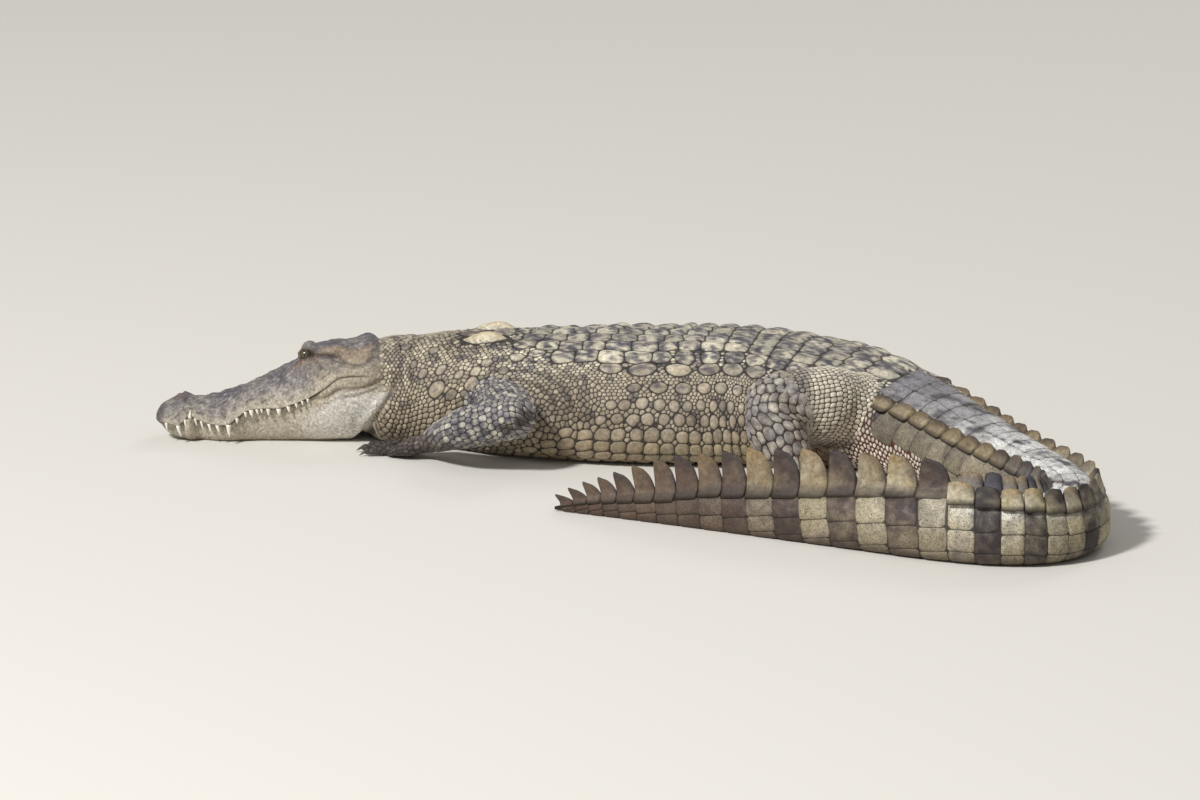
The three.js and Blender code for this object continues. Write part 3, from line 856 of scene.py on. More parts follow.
def tube_faces(rows: int, columns: int) -> list[Array]:
    """Faces of a closed tube with a point at each end, for rows of columns points.

    Args:
        rows: rings along the tube.
        columns: points round each ring.

    Returns:
        Quads between the rows, and the triangles of the first and last fan; the fans'
        points are numbers rows * columns and rows * columns + 1.
    """
    i, j = np.meshgrid(np.arange(rows - 1), np.arange(columns), indexing="ij")
    k = (j + 1) % columns
    quads = np.stack(
        [i * columns + j, (i + 1) * columns + j, (i + 1) * columns + k, i * columns + k],
        -1).reshape(-1, 4)
    j = np.arange(columns)
    k = (j + 1) % columns
    first = np.stack([np.full(columns, rows * columns), j, k], -1)
    end = (rows - 1) * columns
    last = np.stack([end + j, np.full(columns, rows * columns + 1), end + k], -1)
    return [quads, first, last]


def close_tube(rings: Array) -> Array:
    """The points of closed rings in a row and the two fans' points after them."""
    return np.concatenate([rings.reshape(-1, 3), [rings[0].mean(0)], [rings[-1].mean(0)]])


def tube_object(name: str, rings: Array) -> Piece:
    """A closed tube from rings that don't repeat their first point."""
    return make_object(name, close_tube(rings), tube_faces(*rings.shape[:2]))


# ------------------------------------------------------------------ scales


class Kind(Enum):
    """Kinds of scale: rise in mm, how flat the top is, keel in mm and its sharpness."""

    BEAD = (1.6, 3.2, 0.0, 0.4)
    PEBBLE = (2.0, 4.0, 0.0, 0.4)
    OVAL = (2.9, 3.4, 1.5, 0.32)
    SCUTE = (2.9, 5.0, 3.0, 0.24)
    SHIELD = (4.0, 3.0, 9.5, 0.30)
    BELLY = (2.4, 6.0, 0.0, 0.4)
    WHORL = (2.0, 9.0, 0.0, 0.4)
    LEG = (1.5, 6.0, 0.4, 0.4)
    TOE = (1.3, 4.0, 0.0, 0.4)


KINDS = list(Kind)


@dataclass
class Seeds:
    """Where scales stand on a sheet: one entry each in every array.

    u and d are the places, long and wide the half sizes along u and across it, turn the
    long axis's angle from u, square how square the outline is, tone a random number from
    0 to 1, firm whether neighbours may not push it.
    """

    u: Array
    d: Array
    long: Array
    wide: Array
    turn: Array
    square: Array
    tone: Array
    firm: Array
    kind: Array

    @staticmethod
    def make(u: Array, d: Array, long: Array | float, wide: Array | float, kind: Kind, rng: Rng,
            turn: Array | float = 0.0, square: float = 2.0, firm: bool = False) -> Seeds:
        """Seeds of one kind; single numbers hold for all of them.

        Args:
            u: places along the sheet.
            d: places round it.
            long: half sizes along.
            wide: half sizes across.
            kind: what kind of scale.
            rng: the random source.
            turn: the long axes' angles.
            square: how square the outlines are.
            firm: whether neighbours may not push them.

        Returns:
            The seeds.
        """
        u, d = (np.asarray(v, float).ravel() for v in np.broadcast_arrays(u, d))
        n = len(u)

        def fill(value: Array | float) -> Array:
            """The value once for each seed."""
            return np.broadcast_to(np.asarray(value, float), n).copy()

        return Seeds(u, d, fill(long), fill(wide), fill(turn), fill(square), rng.random(n),
            fill(float(firm)) > 0.5, fill(KINDS.index(kind)).astype(int))

    def are(self, *kinds: Kind) -> Array:
        """Which seeds are of these kinds."""
        return np.isin(self.kind, [KINDS.index(kind) for kind in kinds])

    def pick(self, keep: Array) -> Seeds:
        """The seeds that a mask or index array keeps."""
        return Seeds(*(getattr(self, name)[keep] for name in self.__dataclass_fields__))

    @staticmethod
    def join(groups: list[Seeds]) -> Seeds:
        """All the seeds of several groups."""
        names = Seeds.__dataclass_fields__
        return Seeds(*(np.concatenate([getattr(g, n) for g in groups]) for n in names))

    def reach(self, angle: Array, rows: Array) -> Array:
        """Radius of the outlines of seeds `rows` in directions `angle`: a superellipse.

        Args:
            angle: directions.
            rows: the seed of each direction.

        Returns:
            Radii.
        """
        own = angle - self.turn[rows]
        power = self.square[rows]
        x = np.abs(np.cos(own) / self.long[rows]) ** power
        y = np.abs(np.sin(own) / self.wide[rows]) ** power
        return (x + y) ** (-1 / power)

    def clear_of(self, others: Seeds, margin: float) -> Array:
        """Which seeds have their centres outside all the others' outlines.

        Args:
            others: the seeds to keep clear of.
            margin: how much larger their outlines are taken.

        Returns:
            A truth value for each seed.
        """
        rows = np.arange(len(others.u))[None]
        clear = []
        for block in np.array_split(np.arange(len(self.u)), max(1, len(self.u) // 500)):
            du = self.u[block, None] - others.u[None]
            dd = self.d[block, None] - others.d[None]
            reach = others.reach(np.arctan2(dd, du), rows + 0 * block[:, None])
            clear.append((np.hypot(du, dd) > reach * margin).all(1))
        return np.concatenate(clear)

    def near(self, count: int) -> Array:
        """Each seed's nearest others, by the gap between their rims.

        Args:
            count: how many to find.

        Returns:
            Indices (n, count).
        """
        n = len(self.u)
        spot = np.stack([self.u, self.d], -1)
        size = np.sqrt(self.long * self.wide)
        found = []
        for first in range(0, n, 1500):
            rows = np.arange(first, min(first + 1500, n))
            gap = np.linalg.norm(spot[rows, None] - spot[None], axis=-1) - size[None]
            gap[np.arange(len(rows)), rows] = 1e9
            found.append(np.argpartition(gap, min(count, n - 1) - 1, axis=1)[:, :count])
        return np.concatenate(found)

    def relax(self, rounds: int, pull: float = 0.5) -> None:
        """Pushes overlapping seeds apart so that the scales pack like pebbles.

        Args:
            rounds: how many times.
            pull: the share of each overlap that one push takes away.
        """
        rows = np.arange(len(self.u))[:, None]
        for turn in range(rounds):
            if turn % 3 == 0:
                other = self.near(10)
            gap = np.stack([self.u[rows] - self.u[other], self.d[rows] - self.d[other]], -1)
            apart = np.maximum(np.linalg.norm(gap, axis=-1), 0.1)
            angle = np.arctan2(gap[..., 1], gap[..., 0])
            want = self.reach(angle, rows) + self.reach(angle, other)
            push = np.maximum(want - apart, 0) * pull * 0.5
            push = np.where(self.firm[other], 2 * push, push)
            push = np.where(self.firm[rows], 0, push)
            move = (gap / apart[..., None] * push[..., None]).sum(1)
            move = np.clip(move, -3, 3)
            self.u += move[:, 0]
            self.d += move[:, 1]

    def outlines(self, sides: int, groove: float, crisp: float = 14.0) -> Array:
        """Each scale's radius in even directions, where it meets its neighbours.

        The boundary to a neighbour at distance D lies (D^2 + w^2 - v^2) / 2D away, w and v
        being the two radii along the line between them; in direction t it is that over
        the cosine to the line. The corners are rounded by a power mean.

        Args:
            sides: directions round the scale.
            groove: width of the groove between scales.
            crisp: how sharp the corners are.

        Returns:
            Radii (n, sides).
        """
        rows = np.arange(len(self.u))[:, None]
        other = self.near(min(14, len(self.u) - 1))
        gap = np.stack([self.u[other] - self.u[rows], self.d[other] - self.d[rows]], -1)
        apart = np.maximum(np.linalg.norm(gap, axis=-1), 1.0)
        angle = np.arctan2(gap[..., 1], gap[..., 0])
        own, theirs = self.reach(angle, rows), self.reach(angle, other)
        cut = (apart**2 + own**2 - theirs**2) / (2 * apart)
        cut = np.clip(cut, 0.35 * np.minimum(own, apart / 2), None) - groove / 2
        way = np.linspace(0, 2 * math.pi, sides, endpoint=False)
        cosine = np.cos(way[None, None] - angle[..., None])
        wall = np.where(cosine > 0.05, cut[..., None] / np.maximum(cosine, 0.05), 1e3)
        spread = np.where(self.are(Kind.OVAL, Kind.SHIELD), 1.08, 1.4)
        cap = self.reach(way[None] + 0 * rows, rows + 0 * way[None].astype(int))
        cap = cap * spread[:, None]
        walls = np.concatenate([wall, (cap - groove / 2)[:, None]], 1)
        return np.maximum((np.maximum(walls, 0.3) ** -crisp).sum(1) ** (-1 / crisp), 0.6)


FINE = (0.45, 0.78, 0.955, 1.0)  # shares of the radius at a small scale's rings
LARGE = (0.25, 0.5, 0.72, 0.88, 0.96, 1.0)  # and at a large one's
PLATE = (0.3, 0.6, 0.82, 0.93, 0.978, 1.0)  # and at a tail plate's, which nearly touch
ROOT = -1.3  # how far a scale's rim goes into the skin, in mm


@dataclass
class Coat:
    """Scales of one piece: seeds on a sheet, made into closed low domes on its surface."""

    name: str
    sheet: Sheet
    seeds: Seeds
    groove: float = 1.5
    sides: int = 12
    crisp: float = 14.0
    rim: tuple[float, ...] = FINE
    outline: Array | None = None
    cell: tuple[float, float, float] = (0.0, 0.0, 1.0)
    ringed: bool = False

    def parts(self, groups: dict[str, Array], **changes: object) -> list[Coat]:
        """The coat in several pieces whose scales still fit each other.

        Args:
            groups: a mask of the seeds for each piece's name.
            changes: fields that the pieces have otherwise.

        Returns:
            The pieces that have scales.
        """
        sides = changes.get("sides", self.sides)
        outline = self.seeds.outlines(sides, self.groove, self.crisp)
        return [
            replace(self, name=name, seeds=self.seeds.pick(mask), outline=outline[mask], **changes)
            for name, mask in groups.items() if mask.any()]

    def build(self, hide: Hide, region: Region) -> Piece:
        """Makes the piece, with its colours and its OFBake map.

        A scale's height over the skin at share f of its radius is rise * (1 - f^p), with
        a keel along its middle, and its rim goes down into the skin.

        Args:
            hide: the animal's markings.
            region: which part of the hide this is.

        Returns:
            The object.
        """
        seeds, n = self.seeds, len(self.seeds.u)
        rise, flat, keel, sharp = np.array([k.value for k in KINDS])[seeds.kind].T
        small = np.clip(np.sqrt(seeds.long * seeds.wide) / 7.0, 0.45, 1.0)
        rise = rise * small * mix(0.8, 1.15, seeds.tone)
        outline = self.outline
        if outline is None:
            outline = seeds.outlines(self.sides, self.groove, self.crisp)
        rings = np.array(self.rim)
        way = np.linspace(0, 2 * math.pi, self.sides, endpoint=False)
        share = np.concatenate([[0.0], np.repeat(rings, self.sides), [0.0]])
        angle = np.concatenate([[0.0], np.tile(way, len(rings)), [0.0]])
        reach = np.concatenate([outline[:, :1], np.tile(outline, len(rings)), outline[:, :1]], 1)
        du = reach * share * np.cos(angle)
        dd = reach * share * np.sin(angle)
        u = seeds.u[:, None] + du
        if self.ringed:
            u = u + WHORLS.shift(u, seeds.d[:, None] + dd) - WHORLS.shift(u, seeds.d[:, None])
        q = (seeds.d[:, None] + dd) / self.sheet.width(u)
        points, normals = self.sheet.at(u, q)
        turn = seeds.turn[:, None]
        x = (du * np.cos(turn) + dd * np.sin(turn)) / seeds.long[:, None]
        y = (dd * np.cos(turn) - du * np.sin(turn)) / seeds.wide[:, None]
        ridge = np.exp(-np.abs(y / sharp[:, None]) ** 1.3) * (1 - np.minimum(np.abs(x), 1) ** 4)
        ridge = ridge * mix(0.55, 1.0, ramp(x, -0.9, 0.5))
        lift = rise[:, None] * (1 - share ** flat[:, None]) + keel[:, None] * ridge * (
            1 - share**2)
        lift = lift + 0.35 * rise[:, None] * x * (1 - share**2)
        on_top = share < 0.99
        lift = np.where(on_top, lift, ROOT)
        lift[:, -1] = ROOT - 0.3
        points = points + normals * lift[..., None]
        points[..., 2] = np.maximum(points[..., 2], np.where(on_top, 0.0, 0.25))
        first = np.arange(n)[:, None, None] * points.shape[1]
        top, below, band = self.faces()
        fans = np.concatenate([top, below])
        faces = [(first + part[None]).reshape(-1, part.shape[1]) for part in (fans, band)]
        piece = make_object(self.name, points.reshape(-1, 3), faces)
        d = q * self.sheet.width(u)
        colour = hide.scale_colour(region, seeds, u, d, points, share, x, y)
        paint(piece, "hide", colour.reshape(-1, 3))
        # crown is each point's height over the skin; the finish mixes low places toward the groove
        # colour as painted shade
        height = np.clip(lift / np.maximum(rise[:, None], 0.2), 0, 1)
        paint(piece, "crown", np.where(on_top, height, 0).ravel())
        paint(piece, "rim", np.broadcast_to(share, lift.shape).ravel())
        self.unwrap(piece, share, angle)
        return piece

    def faces(self) -> tuple[Array, Array, Array]:
        """The faces of one scale: a fan on top, one below and the bands between the rings.

        Returns:
            Vertex numbers of the top fan, of the fan below and of the bands' quads.
        """
        j = np.arange(self.sides)
        k = (j + 1) % self.sides
        top = np.stack([0 * j, 1 + j, 1 + k], -1)
        rings = np.arange(len(self.rim) - 1)[:, None] * self.sides + 1
        band = np.stack([rings + j, rings + self.sides + j, rings + self.sides + k, rings + k], -1)
        end = 1 + (len(self.rim) - 1) * self.sides
        below = np.stack([end + j, np.full_like(j, end + self.sides), end + k], -1)
        return top, below, band.reshape(-1, 4)

    def unwrap(self, piece: Piece, share: Array, angle: Array) -> None:
        """Adds the OFBake map: each scale a patch 0.003 across at its root's place.

        The skin's unwrap is distance along and distance round it, fitted to the unit
        square. A scale's top is a disc there and its underside a smaller one beside it.

        Args:
            piece: the object.
            share: each template point's share of the radius.
            angle: its direction.
        """
        spot = np.stack([self.seeds.u, self.seeds.d], -1)
        low, high = spot.min(0), spot.max(0)
        edge = 0.004 / self.cell[2]
        root = edge + (spot - low) / np.maximum(high - low, 1.0) * (1 - 2 * edge)
        root = (np.array(self.cell[:2]) + root * self.cell[2])[:, None, None]
        disc = np.stack([np.cos(angle), np.sin(angle)], -1) * share[:, None] * 0.0011
        top, below, band = self.faces()
        fans = np.concatenate([disc[top], [0.0017, 0] + 0.45 * disc[below]])
        store_map(piece, [root + fans[None], root + disc[band][None]])


# ------------------------------------------------------------------ colours of the hide


def hex_colour(code: str) -> tuple[float, float, float]:
    """An sRGB hex colour as linear red, green and blue."""
    parts = [int(code[i : i + 2], 16) / 255 for i in (1, 3, 5)]
    return tuple(c / 12.92 if c <= 0.04045 else ((c + 0.055) / 1.055) ** 2.4 for c in parts)


def ink(code: str) -> Array:
    """The same as an array, for mixing over many points."""
    return np.array(hex_colour(code))


def blend_to(colour: Array, code: str, share: Array) -> Array:
    """Colours moved a share of the way to one hex colour."""
    return mix(colour, ink(code), np.clip(share, 0, 1)[..., None])


class Region(Enum):
    """Parts of the hide that are marked differently."""

    HEAD = "head"
    BODY = "body"
    TAIL = "tail"
    CREST = "crest"
    FRONT_LEG = "front_leg"
    HIND_LEG = "hind_leg"


@dataclass(frozen=True)
class Whorls:
    """The tail's rings of scales: first those with two crests, then those with one."""

    starts: tuple[int, ...] = (1368, 1426, 1485, 1540, 1593, 1645, 1697, 1748, 1798, 1846, 1893,
        1938, 1978, 2012, 2040, 2064, 2086, 2110, 2136, 2166, 2202, 2244, 2292, 2348, 2403, 2457,
        2510, 2561, 2612, 2659, 2704, 2747, 2787, 2825, 2859, 2889, 2916, 2942, 2966)
    double: int = 21
    upper_dark: tuple[float, ...] = (0.95, 0.4, 0.55, 0.9, 0.5, 0.75, 0.4, 0.85, 0.3, 0.7, 0.3,
        0.8, 0.2, 0.6, 0.85, 0.25, 0.9, 0.15, 0.1, 0.95, 0.12, 0.95, 0.25, 0.4, 0.95, 0.08, 0.97,
        0.1, 0.92, 0.35, 0.88, 0.5, 0.45, 0.85, 0.6, 0.6, 0.7, 0.7)
    lower_dark: tuple[float, ...] = (0.1, 0.15, 0.1, 0.3, 0.1, 0.35, 0.1, 0.3, 0.15, 0.3, 0.1, 0.4,
        0.2, 0.3, 0.7, 0.4, 0.15, 0.85, 0.08, 0.95, 0.08, 0.12, 0.85, 0.08, 0.85, 0.12, 0.92, 0.3,
        0.85, 0.45, 0.85, 0.6, 0.6, 0.65, 0.7, 0.7, 0.7, 0.7)
    double_crest: Curve = Curve((1365, 4), (1500, 8), (1700, 13), (1900, 20), (2000, 27),
        (2100, 34), (2244, 46))
    slant: Curve = Curve((600, 0.2), (770, 0.25), (930, 0.21), (980, 0.135), (1025, 0.05),
        (1150, -0.1), (1300, -0.32), (1400, -0.42), (1550, -0.42), (1750, -0.3), (1950, 0))
    single_crest: Curve = Curve((2266, 62), (2400, 72), (2600, 70), (2710, 63), (2800, 49),
        (2986, 5))
    foot: Curve = Curve((1365, 0.8), (2075, 0.8), (2110, 0.86), (2160, 0.92), (2222, 0.99),
        (2300, 1.0), (2400, 0.97), (2600, 0.87), (2700, 0.87), (2780, 0.72), (2986, 0.62))
    chevron: Curve = Curve((2150, 0), (2244, 9), (2290, 19), (2350, 20), (2450, 18), (2600, 13),
        (2800, 7), (2986, 2))

    def table(self) -> tuple[Array, Array, Array]:
        """Start, length and crest height of every whorl, head end first.

        Returns:
            Starts, lengths and crest heights.
        """
        start = np.array(self.starts[:-1], float)
        length = np.diff(np.array(self.starts, float))
        two = np.arange(len(start)) < self.double
        crest = np.where(two, self.double_crest(start + length), self.single_crest(start + length))
        return start, length, crest

    def shift(self, s: Array, d: Array) -> Array:
        """How far back a ring of scales stands at d against its place on the midline.

        Args:
            s: distances along the body line.
            d: distances round from the back's midline.

        Returns:
            Millimetres along the body line.
        """
        slant = self.slant(s)
        side = 0.3 * np.maximum(np.abs(d) - 55, 0) * ramp(s, 1300, 1400) * (1 - ramp(s, 1750, 1950))
        reach = Curve((2150, 100), (2400, 90), (2600, 65), (2800, 38), (2986, 12))(s)
        side = side - self.chevron(s) * np.clip(1 - np.abs(d) / reach, 0, 1)
        ahead = slant * np.clip(d, -125, 125) * (s < 1330)
        return ahead + (s >= 1330) * (slant * np.clip(d, -55, 55) - side)

    def index(self, s: Array) -> Array:
        """Which whorl each place along the body line is in."""
        start, _, _ = self.table()
        return np.clip(np.searchsorted(start, s, side="right") - 1, 0, len(start) - 1)

    def darkness(self, index: Array, upper: Array | float) -> Array:
        """How dark each whorl is, 0 to 1, from its lower plates to its crest scale."""
        return mix(np.array(self.lower_dark)[index], np.array(self.upper_dark)[index], upper)


WHORLS = Whorls()


@dataclass(frozen=True)
class Hide:
    """The markings of the whole hide, the same on the skin and on the scales."""

    cream: str = "#D0C5B0"
    tan: str = "#AC9D85"
    slate: str = "#7D777B"
    steel: str = "#48454C"
    olive: str = "#8E7A55"
    umber: str = "#54422F"
    chocolate: str = "#43302A"
    rust: str = "#6E3B22"
    jaw: str = "#D6CDB9"
    bone: str = "#A0998E"
    crown_grey: str = "#625F6A"
    leg_grey: str = "#8A8486"

    def base(self, region: Region, s: Array, d: Array, points: Array) -> Array:
        """Linear colour of the hide at places on the body or a leg.

        Args:
            region: which markings to use.
            s: distance along the body line (or the leg).
            d: distance round it from the back's midline.
            points: the places in the world, in mm.

        Returns:
            Colours (..., 3).
        """
        z = points[..., 2]
        patch = ripple(points, 70, 21)
        fleck = ripple(points, 22, 22)
        grain = ripple(np.stack([0.4 * s, d], -1), 12, 35)
        if region is Region.HEAD:
            return self.head(s, z, points, patch, fleck)
        if region in (Region.FRONT_LEG, Region.HIND_LEG):
            return self.leg(region, points, patch, fleck + 0.6 * grain)
        if region is Region.CREST:
            return self.tail(s, z, WHORLS.index(s), 0.0, patch, fleck, crest=True)
        if region is Region.TAIL:
            index = WHORLS.index(s - WHORLS.shift(s, d))
            on_top = (1 - ramp(np.abs(d), 22, 45)) * (s < 2244)
            return self.tail(s, z, index, on_top, patch, fleck)
        return self.body(s, d, z, points, patch, fleck, grain)

    def head(self, s: Array, z: Array, points: Array, patch: Array, fleck: Array) -> Array:
        """Pale jaws, a grey mottled snout and a slate roof; tan on the cheeks.

        Args:
            s: distances along the body line.
            z: heights.
            points: places in the world, in mm.
            patch: broad noise, about -1 to 1.
            fleck: finer noise.

        Returns:
            Linear colours (..., 3).
        """
        mouth = HEAD.mouth(s)
        colour = np.broadcast_to(ink(self.jaw), (*s.shape, 3))
        gap = z - mouth
        colour = blend_to(colour, self.olive, 0.22 * ramp(fleck, 0, 1) + 0.1)
        # painted light: the jaw's own pale cream, pushed near white here to offset the shade where
        # its rear faces down
        colour = blend_to(colour, "#F4F0E6", 0.8 * ramp(s, 230, 310) * (1 - ramp(gap, -40, -20)))
        upper = ramp(gap, 0, 16 + 10 * ramp(s, 60, 200))
        grey = blend_to(colour, self.bone, 0.85 + 0 * s)
        grey = blend_to(grey, "#D2CABB", 0.8 * ramp(s, 180, 235) * (1 - ramp(z, 112, 138)))
        grey = blend_to(grey, self.crown_grey, 0.85 * ramp(gap, 14, 52) + 0.2 * patch)
        grey = blend_to(grey, self.crown_grey, 0.35 * (1 - ramp(s, 150, 220)) * ramp(gap, 10, 40))
        grey = blend_to(grey, self.steel, 0.6 * ramp(fleck + 0.5 * patch, 0.15, 0.9))
        grey = blend_to(grey, self.cream, 0.35 * ramp(-fleck - 0.3 * patch, 0.3, 1.0))
        colour = mix(colour, grey, upper[..., None])
        cheek = ramp(s, 250, 300) * ramp(gap, -28, -8) * (1 - ramp(z, 140, 158))
        colour = blend_to(colour, "#BDB094", 0.45 * cheek)
        speck = ramp(ripple(points, 9, 31) + 0.5 * ripple(points, 5, 32), 0.25, 0.9)
        speck = speck * mix(0.18, 0.78, upper * ramp(fleck, -0.6, 0.5))
        colour = blend_to(colour, "#3B3840", speck)
        light = ramp(ripple(points, 8, 33) + 0.5 * ripple(points, 5, 34), 0.35, 0.9)
        colour = blend_to(colour, "#CFC8BA", light * mix(0.15, 0.48, upper))
        colour = blend_to(colour, self.steel, 0.55 * bump(s, 46, 16) * ramp(z, 62, 76))
        colour = blend_to(colour, self.steel, 0.85 * (1 - ramp(s, 6, 26)) * ramp(z, 20, 32))
        colour = blend_to(colour, "#8A766F", 0.5 * bump(s, 36, 14) * ramp(z, 66, 76))
        ear = HEAD.ear(s)
        flap = ramp(z, ear, ear + 5) * (1 - ramp(z, ear + 18, ear + 26))
        _, side = PLAN.trace(points.reshape(-1, 3))
        side = side.reshape(z.shape)
        flap = flap * ramp(s, 295, 315) * (1 - ramp(s, 380, 392)) * ramp(np.abs(side), 38, 52)
        colour = blend_to(colour, "#B49E82", 0.65 * flap)
        # painted shade: the face's creases (ear slit, cheek, mouth corner, jowl, under the eye) and
        # the fold behind the mouth's corner are darkened as if in their own shade
        creases = HEAD.creases(s, side, z)
        fold = bump(z, mouth, 3) * ramp(s, 296, 312) * (1 - ramp(s, 375, 398))
        colour = blend_to(colour, "#4A3A2D", np.clip(0.9 * creases + 0.6 * fold, 0, 0.85))
        behind = bump(s, 318, 30) * bump(z - ear, -14, 9)
        colour = blend_to(colour, "#77706C", 0.5 * behind)
        # painted shade: a dark line along the shut mouth, where the two jaws meet
        line = bump(z, mouth, 2.2) * ramp(s, 14, 30) * (1 - ramp(s, 285, 305))
        colour = blend_to(colour, "#2B2420", 0.75 * line)
        chin = (1 - ramp(z, 0, 14)) * 0.45
        colour = blend_to(colour, self.olive, chin)
        for way in (-1, 1):
            reach, h, a, b, opening = eye_view(points, way)
            close = (reach < HEAD.eye_radius + 9) * (h > 0)
            colour = blend_to(colour, "#8B7A69", 0.7 * close * (1 - ramp(opening, 1.3, 2.2)))
            colour = blend_to(colour, "#241B16", 0.9 * close * (1 - ramp(opening, 1.0, 1.2)))
            colour = blend_to(colour, "#7A5140", 0.6 * close * bump(np.hypot(a - 12, b + 8), 0, 6))
        return colour

    def body(self, s: Array, d: Array, z: Array, points: Array, patch: Array, fleck: Array,
            grain: Array) -> Array:
        """Blue-grey and cream on the back, tan flanks, olive-cream belly edge.

        Args:
            s: distances along the body line.
            d: distances round from the back's midline.
            z: heights.
            points: places in the world, in mm.
            patch: broad noise, about -1 to 1.
            fleck: finer noise.
            grain: noise drawn out along the body.

        Returns:
            Linear colours (..., 3).
        """
        away = np.abs(d)
        flank = mix(ink(self.tan), ink(self.cream), (0.35 + 0.2 * patch)[..., None])
        flank = blend_to(flank, self.umber, 0.25 * bump(s, 720, 90) * bump(z, 90, 60))
        streak = 0.7 * patch + 0.6 * fleck + 1.1 * grain
        back = mix(ink("#E2D8BE"), ink("#66626C"), ramp(streak, -0.5, 0.8)[..., None])
        back = blend_to(back, self.steel, 0.8 * ramp(streak, 0.5, 1.3))
        back = blend_to(back, self.slate, 0.25 * (1 - ramp(away, 0, 90)))
        colour = mix(back, flank, ramp(away + 20 * fleck, 120, 185)[..., None])
        neck = 1 - ramp(s, 560, 680)
        colour = blend_to(colour, "#AE9E84", 0.55 * neck)
        colour = blend_to(colour, self.umber, 0.35 * neck * (1 - ramp(z, 20, 90)))
        # painted shade: the skin folds of neck, shields and arms darkened as if in their own shade
        colour = blend_to(colour, "#2A2119", 0.65 * PLAN.folds(s, d))
        spots = ramp(ripple(points, 46, 23), 0.45, 0.8) * ramp(z, 50, 90)
        colour = blend_to(colour, self.steel, 0.65 * spots)
        colour = blend_to(colour, self.umber, 0.3 * bump(z, 92, 40) * ramp(s, 650, 730))
        colour = blend_to(colour, self.olive, 0.5 * (1 - ramp(z, 40, 85)) * ramp(s, 640, 720))
        colour = blend_to(colour, self.umber, 0.5 * (1 - ramp(z, 0, 16)))
        hip = ramp(s, 1235, 1330) * (1 - ramp(s, 1420, 1520)) * (1 - ramp(z, 55, 110))
        return blend_to(colour, self.rust, 0.55 * hip * ramp(fleck, -0.7, 0.4))

    def tail(self, s: Array, z: Array, index: Array, on_top: Array, patch: Array, fleck: Array,
            crest: bool = False) -> Array:
        """Whorls dark and pale in turn, slate on top at the base, muddy at the tip.

        Args:
            s: distances along the body line.
            z: heights.
            index: each place's whorl.
            on_top: 1 on the plates along the top, else 0.
            patch: broad noise, about -1 to 1.
            fleck: finer noise.
            crest: whether these are crest blades.

        Returns:
            Linear colours (..., 3).
        """
        share = z / PLAN.height(s)
        blade = ramp(share - WHORLS.foot(s), -0.02, 0.2) if crest else 0.0
        dark = mix(WHORLS.darkness(index, blade), 0.12, on_top)
        dark = np.clip(dark + 0.35 * ramp(patch, 0.2, 0.8) - 0.3 * ramp(-patch, 0.2, 0.8), 0, 1)
        pale = mix(ink("#ADA182"), ink("#C9BFA6"), ramp(patch, -0.8, 0.8)[..., None])
        top = mix(ink("#EDEBE6"), ink("#6F6C75"), ramp(fleck + patch, 0.15, 1.4)[..., None])
        top = blend_to(top, "#75717A", 0.8 * (1 - ramp(s, 1400, 1850)))
        near = 1 - ramp(s, 2150, 2300)
        pale = mix(pale, top, (near * (not crest) * ramp(share, 0.65, 1.0))[..., None])
        pale = blend_to(pale, "#84765C", 0.55 * ramp(s, 2300, 2600))
        pale = blend_to(pale, "#8A7C66", 0.45 * ramp(s, 2040, 2100) * (1 - ramp(share, 0.3, 0.6)))
        low = (1 - ramp(s, 1800, 2000)) * (1 - ramp(share, 0.75, 0.9))
        pale = blend_to(pale, "#857966", 0.6 * low)
        deep = mix(ink("#47362E"), ink("#33292A"), ramp(patch + 2 * near - 1, -0.5, 0.5)[..., None])
        colour = mix(pale, deep, np.clip(dark + 0.15 * fleck, 0, 1)[..., None])
        ochre = crest * (1 - dark) * ramp(s, 2244, 2300) * ramp(fleck, -0.6, 0.6)
        colour = blend_to(colour, "#7A5A2E", 0.45 * ochre)
        colour = blend_to(colour, "#553F33", 0.7 * ramp(s, 2520, 2760))
        colour = blend_to(colour, self.umber, 0.55 * (1 - ramp(z, 2, 22)))
        foot = (1 - ramp(share, 0, 0.3)) * ramp(s, 1900, 2100)
        return blend_to(colour, self.chocolate, 0.35 * foot)

    def leg(self, region: Region, points: Array, patch: Array, fleck: Array) -> Array:
        """Mottled blue-grey legs with paler creases, darker paws.

        Args:
            region: which leg.
            points: places in the world, in mm.
            patch: broad noise, about -1 to 1.
            fleck: finer noise.

        Returns:
            Linear colours (..., 3).
        """
        z = points[..., 2]
        colour = mix(ink(self.leg_grey), ink("#BFB8A9"), ramp(-fleck, -0.3, 0.8)[..., None])
        colour = blend_to(colour, "#3F3D4A", 0.65 * ramp(fleck + 0.6 * patch, 0.1, 0.9))
        if region is Region.HIND_LEG:
            colour = blend_to(colour, self.tan, 0.25 + 0.2 * patch)
            thigh = ramp(points[..., 0], 312, 345) * ramp(z, 50, 80)
            colour = blend_to(colour, "#F0E4CC", 0.8 * thigh)
        if region is Region.FRONT_LEG:
            colour = blend_to(colour, "#2F2B2E", 0.6 * (1 - ramp(z, 34, 66)))
            for s, side, up in ((701, 282, 116), (690, 289, 101), (672, 288, 88)):
                far = np.linalg.norm(points - PLAN.place(s, -side, up), axis=-1)
                colour = blend_to(colour, "#3A2B20", 0.85 * (1 - ramp(far, 9, 17)))
        colour = blend_to(colour, self.umber, 0.55 * (1 - ramp(z, 26, 74)))
        return blend_to(colour, "#332C2A", 0.65 * (1 - ramp(z, 12, 42)))

